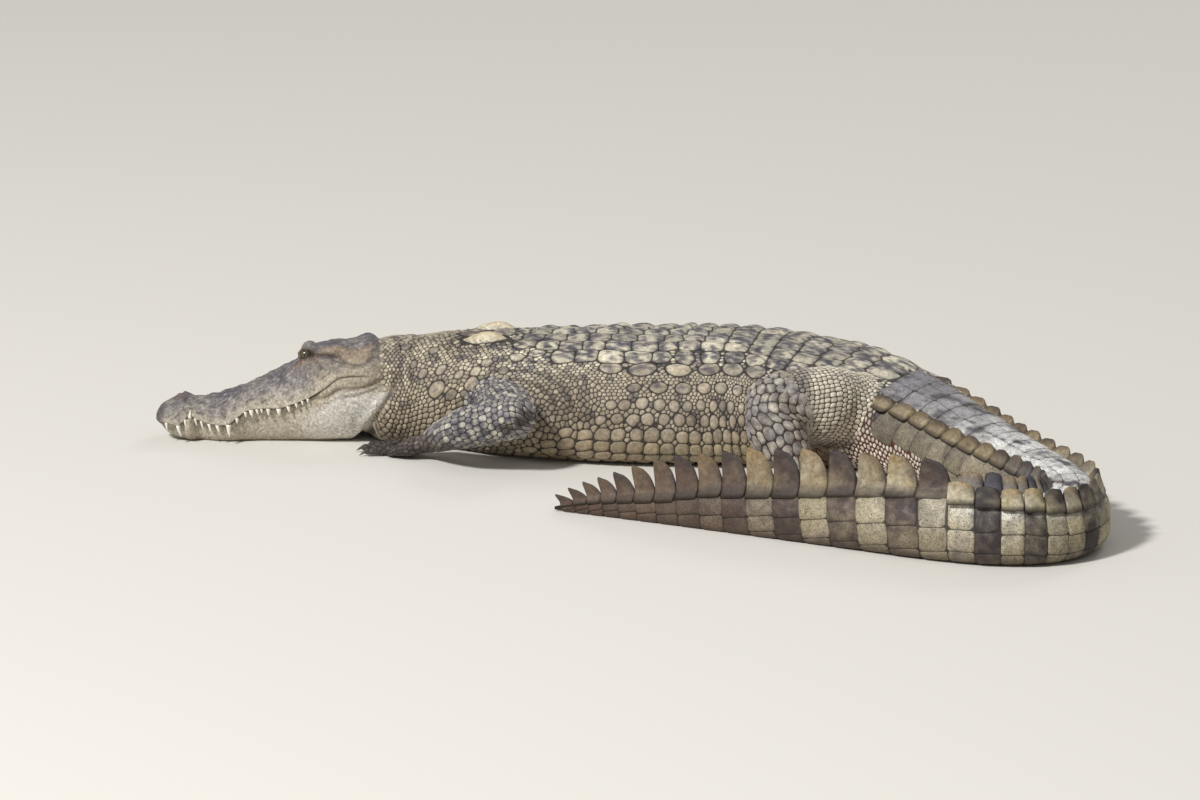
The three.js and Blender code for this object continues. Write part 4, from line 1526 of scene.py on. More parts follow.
    def scale_colour(self, region: Region, seeds: Seeds, u: Array, d: Array, points: Array,
            share: Array, x: Array, y: Array) -> Array:
        """Colours of scales: the hide's markings, each scale's taken whole, and painted shade at
        its rim.

        Args:
            region: which markings.
            seeds: the scales.
            u: distance along of each point, (n, k).
            d: distance round of each point.
            points: the points in the world.
            share: share of the radius for each template point, (k,).
            x: place along each scale, -1 to 1.
            y: place across it.

        Returns:
            Linear colours (n, k, 3).
        """
        whole = self.base(region, u[:, :1], d[:, :1], points[:, :1])
        own = self.base(region, u, d, points)
        large = ramp(np.sqrt(seeds.long * seeds.wide), 7, 15)[:, None, None]
        on_leg = region in (Region.FRONT_LEG, Region.HIND_LEG)
        colour = mix(whole, own, 0.8 if on_leg else mix(0.35, 0.95, large))
        tone = seeds.tone[:, None]
        shield = seeds.are(Kind.SHIELD)[:, None]
        colour = blend_to(colour, "#F0E6CC", 0.8 * shield * (share < 2))
        bead = seeds.are(Kind.BEAD)[:, None]
        hip = ramp(u, 1290, 1340) * (1 - ramp(points[..., 2], 70, 110))
        colour = blend_to(colour, "#E6DCCD", 0.8 * bead * hip)
        # a random tone for each scale, times painted shade that darkens it towards its rim
        light = mix(0.80, 1.17, tone) * (1 - 0.22 * share**3)
        colour = colour * light[..., None]
        big = seeds.are(Kind.OVAL, Kind.SCUTE)[:, None]
        streak = big * np.exp(-np.abs(y) * 2.6) * np.exp(-((x + 0.25) ** 2) * 2.2)
        marked = (seeds.tone[:, None] * 7.3 % 1) > 0.35
        colour = blend_to(colour, self.steel, 0.85 * streak * marked)
        rays = np.sin(24 * np.arctan2(y, x + 0.3)) * ramp(share, 0.25, 0.6) * (x < 0.35)
        colour = blend_to(colour, "#3A3436", 0.5 * shield * ramp(rays, 0.1, 0.8))
        crest = shield * np.exp(-np.abs(y) * 3.5)
        colour = blend_to(colour, "#B79F6C", 0.6 * crest * (share < 0.95))
        return colour


# ------------------------------------------------------------------ limbs


@dataclass(frozen=True)
class Joint:
    """A point of a limb's axis: place on the body, and radii across and up."""

    s: float
    side: float
    z: float
    across: float
    up: float


def joints(*rows: tuple[float, float, float, float, float]) -> tuple[Joint, ...]:
    """Joints from rows of numbers."""
    return tuple(Joint(*row) for row in rows)


class Tube:
    """A limb length: elliptical rings round a smooth axis, rounded at both ends."""

    def __init__(self, centres: Array, across: Array, up: Array, steps: int, columns: int) -> None:
        """Works out the rings.

        The axis is a Hermite curve through the centres. A ring's radii shrink by
        sqrt(1 - x^2) over the last radius beyond each end.

        Args:
            centres: axis points (k, 3) in mm.
            across: sideways radii at them.
            up: upward radii at them.
            steps: rings along the axis between the ends.
            columns: points round a ring.
        """
        chord = np.linalg.norm(np.diff(centres, axis=0), axis=1)
        mark = np.concatenate([[0], np.cumsum(chord)])
        length = mark[-1]
        path = [Curve(*zip(mark, centres[:, k])) for k in range(3)]
        before, after = across[0], across[-1]
        t = np.concatenate([
            -before * np.cos(np.linspace(0.12, 1.3, 6)),
            np.linspace(0, length, steps),
            length + after * np.sin(np.linspace(0.27, 1.45, 6)),
        ])
        held = np.clip(t, 0, length)
        points = np.stack([p(held) for p in path], -1)
        fine = np.stack([p(np.clip(held + 1, 0, length)) for p in path], -1)
        coarse = np.stack([p(np.clip(held - 1, 0, length)) for p in path], -1)
        self.forward = unit(fine - coarse)
        points = points + self.forward * (t - held)[:, None]
        beyond = np.where(t < 0, -t / before, np.maximum(t - length, 0) / after)
        shrink = np.sqrt(np.maximum(1 - beyond**2, 0.0))
        upright = np.where(np.abs(self.forward[:, 2:]) > 0.85, [[-1.0, 0, 0]], [[0, 0, 1.0]])
        self.sideways = unit(np.cross(upright, self.forward))
        self.upwards = np.cross(self.forward, self.sideways)
        self.across = np.interp(held, mark, across) * shrink
        self.up = np.interp(held, mark, up) * shrink
        self.centres = points
        self.along = t - t[0]
        self.columns = columns

    def rings(self, depth: float, count: int | None = None) -> Array:
        """Rings this deep inside the limb's surface, kept off the floor.

        Args:
            depth: in mm.
            count: points round each, if not the tube's own number; the last then repeats
                the first.

        Returns:
            Points (n, m, 3), from the underside by the right-hand side.
        """
        closed = count is None
        around = (np.linspace(-math.pi, math.pi, self.columns, endpoint=False) if closed
            else np.linspace(-math.pi, math.pi, count))
        wide = np.maximum(self.across - depth, 0.3)[:, None]
        tall = np.maximum(self.up - depth, 0.3)[:, None]
        ring = (self.centres[:, None] + self.sideways[:, None] * (wide * np.sin(around))[..., None]
            + self.upwards[:, None] * (tall * np.cos(around))[..., None])
        ring[..., 2] = np.maximum(ring[..., 2], 0.6)
        return ring

    def sheet(self, depth: float) -> Sheet:
        """The surface the scales stand on."""
        ring = self.rings(depth, 73)
        return Sheet(self.along, ring)

    def size(self, points: Array) -> Array:
        """How far out world points are, 1 being the limb's surface, 9 far away.

        Args:
            points: (n, 3) in millimetres.

        Returns:
            For each point the least of hypot(sideways / across, upwards / up, along / step)
            over the rings, (n,).
        """
        low, high = self.centres.min(0) - 110, self.centres.max(0) + 110
        close = np.flatnonzero(((points > low) & (points < high)).all(1))
        found = np.full(len(points), 9.0)
        step = max(self.along[-1] / len(self.along), 3.0)
        for rows in np.array_split(close, max(1, len(close) // 6000)):
            gap = points[rows, None] - self.centres[None]
            along = (gap * self.forward[None]).sum(-1) / step
            along = np.maximum(np.abs(along) - 0.6, 0)
            wide = (gap * self.sideways[None]).sum(-1) / np.maximum(self.across, 1)[None]
            tall = (gap * self.upwards[None]).sum(-1) / np.maximum(self.up, 1)[None]
            found[rows] = np.sqrt((wide**2 + tall**2 + along**2).min(1))
        return found

    def holds(self, points: Array, share: float) -> Array:
        """Whether world points lie inside the limb, shrunk by a share."""
        return self.size(points) < share


@dataclass(frozen=True)
class LegPlan:
    """One leg: joints of its lengths, its digits and the size of its scales.

    A digit is its turn in degrees from the paw's own line and its length; the first three
    carry claws.
    """

    name: str
    region: Region
    upper: tuple[Joint, ...]
    lower: tuple[Joint, ...]
    paw: tuple[Joint, ...]
    digits: tuple[Pair, ...]
    nodes: tuple[str, ...]
    upper_scale: Pair = (7.0, 6.0)
    lower_scale: Pair = (8.0, 8.0)


FRONT_DIGITS = ((38, 58), (14, 70), (-8, 72), (-30, 62), (-62, 48))
HIND_DIGITS = ((30, 84), (8, 98), (-14, 98), (-38, 80))
LEGS = (
    LegPlan(
        "left_front", Region.FRONT_LEG,
        joints((616, -112, 90, 46, 50), (658, -190, 104, 45, 46), (678, -230, 104, 41, 42)),
        joints((679, -249, 104, 41, 43), (600, -236, 74, 37, 36), (528, -172, 33, 25, 22)),
        joints((522, -176, 30, 22, 20), (478, -167, 18, 31, 16), (452, -159, 12, 30, 11)),
        FRONT_DIGITS,
        ("left_upper_arm", "left_forearm", "left_hand"),
        (5.6, 5.6), (6.2, 6.2),
    ),
    LegPlan(
        "right_front", Region.FRONT_LEG,
        joints((600, 112, 98, 50, 54), (640, 196, 92, 48, 48), (666, 240, 82, 42, 42)),
        joints((668, 262, 76, 40, 40), (604, 268, 54, 37, 34), (528, 248, 30, 25, 21)),
        joints((522, 247, 28, 22, 20), (480, 252, 17, 32, 16), (454, 256, 12, 31, 11)),
        tuple((-turn, length) for turn, length in FRONT_DIGITS),
        ("right_upper_arm", "right_forearm", "right_hand"),
        (5.6, 5.6), (6.2, 6.2),
    ),
    LegPlan(
        "left_hind", Region.HIND_LEG,
        joints((1322, -78, 102, 66, 72), (1318, -150, 120, 70, 72), (1285, -212, 134, 60, 60)),
        joints((1270, -240, 132, 59, 58), (1326, -262, 92, 56, 54), (1420, -262, 38, 31, 28)),
        joints((1432, -266, 32, 28, 24), (1456, -318, 20, 34, 18), (1470, -366, 12, 38, 12)),
        HIND_DIGITS,
        ("left_thigh", "left_shank", "left_foot"),
        (5.0, 4.6), (10.0, 9.6),
    ),
    LegPlan(
        "right_hind", Region.HIND_LEG,
        joints((1290, 84, 84, 62, 66), (1235, 175, 76, 62, 60), (1160, 250, 70, 52, 50)),
        joints((1150, 276, 64, 49, 48), (1200, 300, 52, 42, 40), (1255, 300, 34, 28, 27)),
        joints((1262, 304, 30, 26, 23), (1240, 352, 19, 34, 17), (1214, 390, 12, 38, 12)),
        tuple((-turn, length) for turn, length in HIND_DIGITS),
        ("right_thigh", "right_shank", "right_foot"),
        (5.0, 4.6), (10.0, 9.6),
    ),
)


@dataclass
class Leg:
    """A leg's tubes, scales and claws."""

    plan: LegPlan
    digit_radii: Pair = (11.0, 7.0)
    digit_heights: Pair = (12.0, 9.0)
    claw_length: float = 19.0
    claw_radius: float = 4.2
    claw_tilt: float = 22.0
    claw_height: float = 10.0
    tubes: list[Tube] = field(default_factory=list)

    def __post_init__(self) -> None:
        """Works out the tubes of the leg's lengths and digits."""
        lengths = (self.plan.upper, self.plan.lower, self.plan.paw)
        for part, steps, columns in zip(lengths, (26, 34, 22), (44, 44, 36)):
            place = np.array([[j.s, j.side, j.z] for j in part])
            centres = PLAN.place(*place.T)
            across = np.array([j.across for j in part])
            up = np.array([j.up for j in part])
            self.tubes.append(Tube(centres, across, up, steps, columns))
        paw = centres
        self.knuckle = paw[2]
        ahead = paw[2] - paw[1]
        ahead[2] = 0
        self.ahead = unit(ahead)
        for turn, length in self.plan.digits:
            heading = self.heading(turn)
            ends = np.stack([self.knuckle, self.knuckle + heading * length])
            middle = ends.mean(0)
            centres = np.stack([ends[0], middle, ends[1]])
            centres[:, 2] = (self.digit_heights[0], sum(self.digit_heights) / 2 + 2.0,
                self.digit_heights[1])
            radii = np.array([self.digit_radii[0], sum(self.digit_radii) / 2, self.digit_radii[1]])
            self.tubes.append(Tube(centres, radii, radii, 16, 20))

    def heading(self, turn: float) -> Array:
        """The way a digit points: the paw's own line turned about the upright.

        Args:
            turn: degrees.

        Returns:
            A unit vector.
        """
        angle = math.radians(turn)
        x, y = self.ahead[:2]
        return np.array([
            x * math.cos(angle) - y * math.sin(angle),
            x * math.sin(angle) + y * math.cos(angle),
            0.0,
        ])

    def seeds(self, part: int, tube: Tube, sheet: Sheet, rng: Rng) -> Seeds:
        """Seeds over one tube: staggered rows across it, jittered a little.

        Args:
            part: 0 for the upper length, 1 the lower, 2 the paw, 3 and up the digits.
            tube: the tube; not used.
            sheet: its surface.
            rng: the random source.

        Returns:
            The seeds.
        """
        sizes = (self.plan.upper_scale, self.plan.lower_scale, (5.0, 6.0), (4.0, 7.5))
        long, wide = sizes[min(part, 3)]
        rows = np.arange(long, sheet.u[-1] - long, 1.85 * long)
        groups = []
        for number, row in enumerate(rows):
            half = float(sheet.width(row))
            count = max(3, int(round(2 * half / (1.85 * wide))))
            offset = 0.5 * (number % 2)
            d = ((np.arange(count) + offset) / count * 2 - 1) * half
            jitter = 0.16 if part < 2 else 0.05
            u = row + rng.normal(0, jitter * long, count)
            d = d + rng.normal(0, jitter * wide, count)
            kind = Kind.BEAD if (part == 0 and long < 6) else Kind.LEG
            kind = Kind.TOE if part > 2 else kind
            square = 4.5 if part in (1, 3) else 3.0
            groups.append(Seeds.make(u, d, long, wide, kind, rng, square=square))
        seeds = Seeds.join(groups)
        scale = rng.uniform(0.78, 1.15, len(seeds.u))
        seeds.long *= scale
        seeds.wide *= scale
        return seeds

    def coats(self, depth: float, rng: Rng, skin: Piece) -> list[Coat]:
        """The coat of each tube, without scales that lie in the body or another tube.

        Args:
            depth: how deep in the leg's solids the skin is.
            rng: the random source.
            skin: the finished skin, on which the scales stand.

        Returns:
            The coats.
        """
        made = []
        for part, tube in enumerate(self.tubes):
            sheet = tube.sheet(depth)
            seeds = self.seeds(part, tube, sheet, rng)
            points, _ = sheet.at(seeds.u, seeds.d / sheet.width(seeds.u))
            hidden = PLAN.holds(points, 0.985)
            for other in self.tubes:
                if other is not tube:
                    hidden |= other.holds(points, 0.93)
            seeds = seeds.pick(~hidden & (points[:, 2] > 1.2))
            if len(seeds.u) > 2:
                seeds.relax(4)
                cell = (part % 3 / 3, part // 3 / 3, 1 / 3)
                laid = drape(sheet, skin)
                made.append(
                    Coat(f"{self.plan.name}_{part}", laid, seeds, groove=0.5, sides=10, cell=cell))
        return made

    def claws(self) -> list[tuple[str, Array]]:
        """Each claw's name and rings: a horn that bends down from the toe's end.

        The axis is a parabola, its radius the root's times (1 - t)^0.7, deeper than wide.

        Returns:
            Names and rings (rows, columns, 3) in mm.
        """
        made = []
        for number, (turn, length) in enumerate(self.plan.digits[:3], 1):
            heading = self.heading(turn)
            t = np.linspace(-0.25, 1, 14)[:, None]
            drop = math.tan(math.radians(self.claw_tilt))
            root = self.knuckle + heading * (length - 2)
            axis = root + heading * self.claw_length * t * 0.94
            held = np.maximum(t[:, 0], 0)
            axis[:, 2] = self.claw_height - self.claw_length * (0.1 * drop * held + drop * held**2)
            radius = self.claw_radius * (1 - held * 0.97) ** 0.7 * mix(0.75, 1, held > 0)
            around = np.linspace(0, 2 * math.pi, 16, endpoint=False)
            sideways = np.array([-heading[1], heading[0], 0.0])
            ring = (axis[:, None] + sideways * (radius[:, None] * 0.85 * np.cos(around))[..., None]
                + np.array([0, 0, 1.0]) * (radius[:, None] * 1.05 * np.sin(around))[..., None])
            ring[..., 2] = np.maximum(ring[..., 2], 0.3)
            made.append((f"{self.plan.name}_claw_{number}", ring))
        return made


# ------------------------------------------------------------------ the skin


def final_points(piece: Piece) -> Array:
    """A piece's vertices with its modifiers applied, in millimetres, (n, 3).

    Args:
        piece: the object.

    Returns:
        The points.
    """
    graph = bpy.context.evaluated_depsgraph_get()
    mesh = piece.evaluated_get(graph).to_mesh()
    found = np.zeros(len(mesh.vertices) * 3, np.float32)
    mesh.vertices.foreach_get("co", found)
    piece.evaluated_get(graph).to_mesh_clear()
    return found.reshape(-1, 3).astype(float) / MM


def drape(sheet: Sheet, skin: Piece) -> Sheet:
    """The sheet laid on the finished skin: each grid point moved to the nearest place on it.

    Two copies are wrapped, on the surface and 1 mm over it, and their gap is the normal.

    Args:
        sheet: the sheet as first worked out.
        skin: the skin after its seams are smoothed.

    Returns:
        The draped sheet.
    """
    points = sheet.points.reshape(-1, 3)
    copy = make_object("drape", points, [np.zeros((1, 3), int)])
    wrap = copy.modifiers.new("wrap", "SHRINKWRAP")
    wrap.target = skin
    wrap.wrap_mode = "ABOVE_SURFACE"
    wrap.offset = 0.0
    bpy.context.view_layer.update()
    on = final_points(copy)
    wrap.offset = MM
    bpy.context.view_layer.update()
    over = final_points(copy)
    bpy.data.objects.remove(copy)
    laid = Sheet(sheet.u, on.reshape(sheet.points.shape))
    normals = unit(over - on).reshape(sheet.points.shape)
    facing = (normals * sheet.normals).sum(-1, keepdims=True)
    laid.half = sheet.half
    laid.normals = np.where(facing > 0.2, normals, sheet.normals)
    return laid


@dataclass
class Skin:
    """The one skin: head, neck, trunk, tail and legs joined without a seam."""

    flesh: Flesh
    legs: list[Leg]
    leg_depth: float = 1.8
    seam_rounds: int = 50
    seam_reach: float = 0.35

    def build(self, hide: Hide) -> tuple[Piece, Sheet]:
        """Makes the skin and the sheet that the body's scales stand on.

        Args:
            hide: the animal's markings.

        Returns:
            The skin and the sheet of head, neck, trunk and tail.
        """
        s, rings = self.flesh.rings()
        skin = tube_object("skin", rings[:, :-1])
        for leg in self.legs:
            for number, tube in enumerate(leg.tubes):
                rings_here = tube.rings(self.leg_depth)
                part = tube_object(f"limb_{number}", rings_here)
                self.unite(skin, part)
        self.smooth_seams(skin)
        self.colour(skin, hide)
        even = np.broadcast_to(np.linspace(0, 1, 281), (len(s), 281))
        sheet = Sheet(s, resample(rings, even))
        return skin, sheet

    def unite(self, skin: Piece, part: Piece) -> None:
        """Joins a closed part to the skin and removes what lies inside.

        Args:
            skin: the skin.
            part: the part, which is used up.
        """
        join = skin.modifiers.new("unite", "BOOLEAN")
        join.operation = "UNION"
        join.solver = "MANIFOLD"
        join.object = part
        bpy.context.view_layer.update()
        graph = bpy.context.evaluated_depsgraph_get()
        mesh = bpy.data.meshes.new_from_object(skin.evaluated_get(graph))
        skin.modifiers.clear()
        old = skin.data
        skin.data = mesh
        bpy.data.meshes.remove(old)
        bpy.data.objects.remove(part)

    def near_seam(self, points: Array) -> Array:
        """How near each point is to where a leg meets the body or two lengths meet, 0 to 1.

        Args:
            points: places in the world, in mm.

        Returns:
            Weights, 0 to 1.
        """
        s, side = PLAN.trace(points)
        middle = PLAN.height(s) * PLAN.widest(s)
        body = np.hypot(side / PLAN.half_width(s), (points[:, 2] - middle)
            / (np.where(points[:, 2] > middle, PLAN.height(s) - middle, middle)))
        weight = np.zeros(len(points))
        for leg in self.legs:
            sizes = [tube.size(points) for tube in leg.tubes[:3]]
            for first, second, reach in ((body, sizes[0], self.seam_reach),
                    (sizes[0], sizes[1], 0.3), (sizes[1], sizes[2], 0.35), (body, sizes[1], 0.12)):
                weight = np.maximum(weight, bump(first, 1, reach) * bump(second, 1, reach))
            for tube in leg.tubes[3:]:
                weight = np.maximum(weight, 0.8 * bump(sizes[2], 1, 0.3)
                    * bump(tube.size(points), 1, 0.3))
        return weight * ramp(points[:, 2], 2, 12)

    def smooth_seams(self, skin: Piece) -> None:
        """Softens the joins: each vertex moves part of the way to its neighbours' mean.

        Args:
            skin: the skin.
        """
        mesh = skin.data
        edges = np.zeros(len(mesh.edges) * 2, np.int32)
        mesh.edges.foreach_get("vertices", edges)
        a, b = edges.reshape(-1, 2).T
        n = len(mesh.vertices)
        points = np.zeros(n * 3, np.float32)
        mesh.vertices.foreach_get("co", points)
        points = points.reshape(-1, 3).astype(float) / MM
        weight = self.near_seam(points)[:, None]
        degree = np.maximum(np.bincount(a, minlength=n) + np.bincount(b, minlength=n), 1)
        for _ in range(self.seam_rounds):
            total = np.stack([
                np.bincount(a, points[b, k], n) + np.bincount(b, points[a, k], n)
                for k in range(3)
            ], -1)
            points = mix(points, total / degree[:, None], 0.6 * weight)
        points[:, 2] = np.maximum(points[:, 2], FLOOR_GAP)
        mesh.vertices.foreach_set("co", (points * MM).astype(np.float32).ravel())
        mesh.update()
        mesh.polygons.foreach_set("use_smooth", np.ones(len(mesh.polygons), bool))

    def colour(self, skin: Piece, hide: Hide) -> None:
        """Paints the skin: the hide's markings, dark where scales stand on it.

        Args:
            skin: the skin.
            hide: the animal's markings.
        """
        points = final_points(skin)
        s, side = PLAN.trace(points)
        middle = PLAN.height(s) * PLAN.widest(s)
        angle = np.arctan2(side / PLAN.half_width(s), (points[:, 2] - middle) / middle)
        d = angle / math.pi * 1.9 * (PLAN.half_width(s) + 0.6 * PLAN.height(s))
        body = hide.base(Region.BODY, s, d, points)
        body = mix(body, hide.base(Region.TAIL, s, d, points), ramp(s, 1350, 1400)[:, None])
        head = hide.base(Region.HEAD, np.minimum(s, HEAD.last), d, points)
        edge = HEAD.bare_to(d, points[:, 2])
        colour = mix(head, body, ramp(s - edge, -16, 14)[:, None])
        for leg in self.legs:
            size = np.min([tube.size(points) for tube in leg.tubes], 0)
            on_leg = (1 - ramp(size, 1.02, 1.2)) * ~PLAN.holds(points, 0.99)
            legs = hide.base(leg.plan.region, s, d, points)
            colour = mix(colour, legs, on_leg[:, None])
        covered = ramp(s - edge, -3, 9)
        groove = mix(colour, ink("#170F0A"), 0.92)
        bare = ramp(s, 1270, 1320) * (1 - ramp(s, 1610, 1670)) * (1 - ramp(points[:, 2], 92, 125))
        groove = blend_to(groove, "#5A2D1C", 0.85 * bare)
        colour = mix(mix(colour, ink("#54463A"), 0.25), groove, covered[:, None])
        paint(skin, "hide", colour)
        paint(skin, "bare", 1 - covered)


# ------------------------------------------------------------------ where the scales stand


def quilt(u_span: Pair, d_span: Pair, size: Curve, shape: float, kind: Kind, rng: Rng,
        jitter: float = 0.13, square: float = 2.2) -> Seeds:
    """Staggered columns of scales over a stretch of hide, sized by how far round they are.

    Args:
        u_span: from and to along the body.
        d_span: from and to round it.
        size: half length of a scale against its distance from the back's midline.
        shape: half width as a share of half length.
        kind: what they are.
        rng: the random source.
        jitter: random offset as a share of the size.
        square: how square they are.

    Returns:
        The seeds.
    """
    groups = []
    d, number = d_span[0], 0
    while d < d_span[1]:
        long = float(size(abs(d)))
        u = np.arange(u_span[0] + (number % 2) * 0.9 * long, u_span[1], 1.85 * long)
        n = len(u)
        grown = rng.uniform(0.74, 1.2, n)
        groups.append(Seeds.make(
            u + rng.normal(0, jitter * long, n), d + rng.normal(0, jitter * long, n),
            long * grown, long * shape * grown, kind, rng, square=square,
        ))
        d += 1.66 * long * shape
        number += 1
    return Seeds.join(groups)


@dataclass
class TrunkScales:
    """The scales of neck and trunk, laid out by their kinds."""

    sheet: Sheet
    rng: Rng
    full: float = 545.0
    bands: tuple[int, ...] = (664, 704, 743, 782, 821, 866, 912, 944, 982, 1023, 1068, 1113, 1158,
        1203, 1249, 1298, 1352)

    def share(self, s: Array) -> Array:
        """The section's size as a share of the fullest one's."""
        return self.sheet.width(s) / self.full

    def back(self) -> Seeds:
        """Cross bands of keeled scutes, three each side, that stand a little askew.

        Returns:
            The scutes.
        """
        rows = np.array(self.bands, float)
        long = np.diff(rows)
        middle = rows[:-1] + long / 2
        s, d = np.meshgrid(middle, [-116, -69, -23, 23, 69, 116], indexing="ij")
        long = np.broadcast_to(long[:, None], s.shape)
        narrow = np.clip(self.share(s), 0.62, 1)
        d = d * narrow
        keep = ~((s < 760) & (np.abs(d) > 60 + (s - 660) * 0.4))
        s, d, narrow, long = s[keep], d[keep], narrow[keep], long[keep]
        jitter = self.rng.normal(0, 1.0, (2, len(s)))
        return Seeds.make(s + WHORLS.shift(s, d) + jitter[0], d + jitter[1] * 1.5, long / 2 - 0.3,
            23.0 * narrow, Kind.SCUTE, self.rng, square=5.0, firm=True)

    def nape(self) -> Seeds:
        """The plates behind the head and the large keeled shields of the neck.

        Returns:
            The plates, shields and round scales.
        """
        rng = self.rng
        behind = Seeds.make([452] * 4, [-46, -16, 16, 46], 12, 10, Kind.OVAL, rng, firm=True)
        shields = Seeds.make([598, 598], [-45, 45], 47, 23, Kind.SHIELD, rng, square=2.4,
            firm=True)
        middle = Seeds.make([568, 568, 624, 624], [-11, 11, -11, 11], 27, 11, Kind.SCUTE, rng,
            square=2.6, firm=True)
        spots = ((532, 115, 11), (526, 149, 18), (496, 114, 10.5), (556, 169, 12), (592, 159, 13),
            (568, 136, 9.5), (598, 137, 10), (616, 121, 10.5), (646, 142, 10), (664, 107, 13),
            (694, 97, 14.5), (512, 70, 10), (474, 92, 9))
        place = np.array([(s, way * d, r) for s, d, r in spots for way in (-1, 1)], float)
        place[1::2, :2] += rng.normal(0, 6, (len(spots), 2))
        round_ones = Seeds.make(place[:, 0], place[:, 1], place[:, 2], place[:, 2] * 0.88,
            Kind.PEBBLE, rng, firm=True)
        return Seeds.join([behind, shields, middle, round_ones])

    def flank(self, way: int) -> Seeds:
        """Rows of ovals, then rounds, then squares down one flank, larger ones highest.

        Args:
            way: -1 for the left flank, 1 for the right.

        Returns:
            The scales.
        """
        rng = self.rng
        rows = ((812, 59, 156, 26.0, 19.0, Kind.OVAL, 2.2),
            (858, 43, 203, 17.0, 12.5, Kind.OVAL, 2.2),
            (812, 27.5, 236, 11.6, 11.2, Kind.PEBBLE, 2.3),
            (796, 26.5, 262, 12.0, 11.8, Kind.PEBBLE, 2.3),
            (745, 27.5, 289, 13.0, 12.4, Kind.BELLY, 3.0),
            (717.5, 27.5, 315, 13.5, 13.0, Kind.BELLY, 4.5),
            (690, 27.5, 341, 13.6, 13.2, Kind.BELLY, 6.0))
        groups = []
        for start, step, away, long, wide, kind, square in rows:
            loose = 0.2 if kind is Kind.BELLY else 1.0
            s = np.arange(start + loose * rng.uniform(-4, 4), 1345, step)
            n = len(s)
            s = s + loose * rng.normal(0, 0.05 * step, n)
            d = away * self.share(s) + loose * rng.normal(0, 0.09 * wide, n)
            grown = rng.uniform(0.9, 1.07, n) * mix(0.8, 1.0, ramp(s, start - 10, start + 60))
            narrow = np.clip(self.share(s), 0.72, 1)
            groups.append(Seeds.make(
                s, way * d, long * grown, wide * grown * narrow, kind, rng, square=square,
                firm=away < 210,
            ))
        return Seeds.join(groups)

    def belly(self) -> Seeds:
        """Even rows of square scales under the trunk.

        Returns:
            The scales.
        """
        s, row = np.meshgrid(np.arange(676, 1340, 27.5), np.arange(8), indexing="ij")
        low = 368 * self.share(s)
        step = (self.sheet.width(s) - low) / 7.5
        d = low + row * step
        seeds = Seeds.make(s, d, 13.5, 13.2, Kind.BELLY, self.rng, square=6.0)
        seeds.wide = np.clip(step.ravel() * 0.49, 7, 14)
        other = Seeds.make(s, -d, 13.5, 13.2, Kind.BELLY, self.rng, square=6.0)
        other.wide = seeds.wide.copy()
        return Seeds.join([seeds, other])

    def small(self) -> Seeds:
        """The small scales between the large ones and all over neck and shoulders.

        Returns:
            The scales.
        """
        rng = self.rng
        neck_size = Curve((0, 5.6), (60, 4.9), (140, 4.9), (200, 6.6), (260, 7.8), (420, 8.4))
        neck = quilt((398, PLAN.neck_end), (-410, 410), neck_size, 0.84, Kind.PEBBLE, rng)
        shoulder_size = Curve((0, 6.0), (100, 4.4), (190, 4.6), (260, 5.4), (300, 7.0), (600, 10.0))
        shoulder = quilt((PLAN.neck_end, 800), (-530, 530), shoulder_size, 0.95, Kind.PEBBLE, rng)
        away = np.abs(shoulder.d)
        wrinkled = (away > 185) & (away < 280)
        shoulder.long = np.where(wrinkled, shoulder.long * 0.8, shoulder.long)
        shoulder.wide = np.where(wrinkled, shoulder.wide * 1.5, shoulder.wide)
        granule = Curve((0, 4.2), (600, 4.2))
        sides = [quilt((800, 1362), span, granule, 0.9, Kind.BEAD, rng, 0.2)
            for span in ((-330, -95), (95, 330))]
        return Seeds.join([neck, shoulder, *sides])

    def seeds(self) -> Seeds:
        """All the scales, the small ones cleared from under the large ones, then packed.

        Returns:
            The scales.
        """
        large = Seeds.join([self.back(), self.nape(), self.flank(-1), self.flank(1), self.belly()])
        half = self.sheet.width(large.u)
        large = large.pick(np.abs(large.d) < half - 3)
        small = self.small()
        edge = self.sheet.width(small.u)
        ahead = HEAD.bare_to(small.d, self.sheet.at(small.u, small.d / edge)[0][:, 2])
        keep = (np.abs(small.d) < edge - 3) & (small.u > ahead) & small.clear_of(large, 1.12)
        joined = Seeds.join([large, small.pick(keep)])
        joined.relax(12)
        return joined


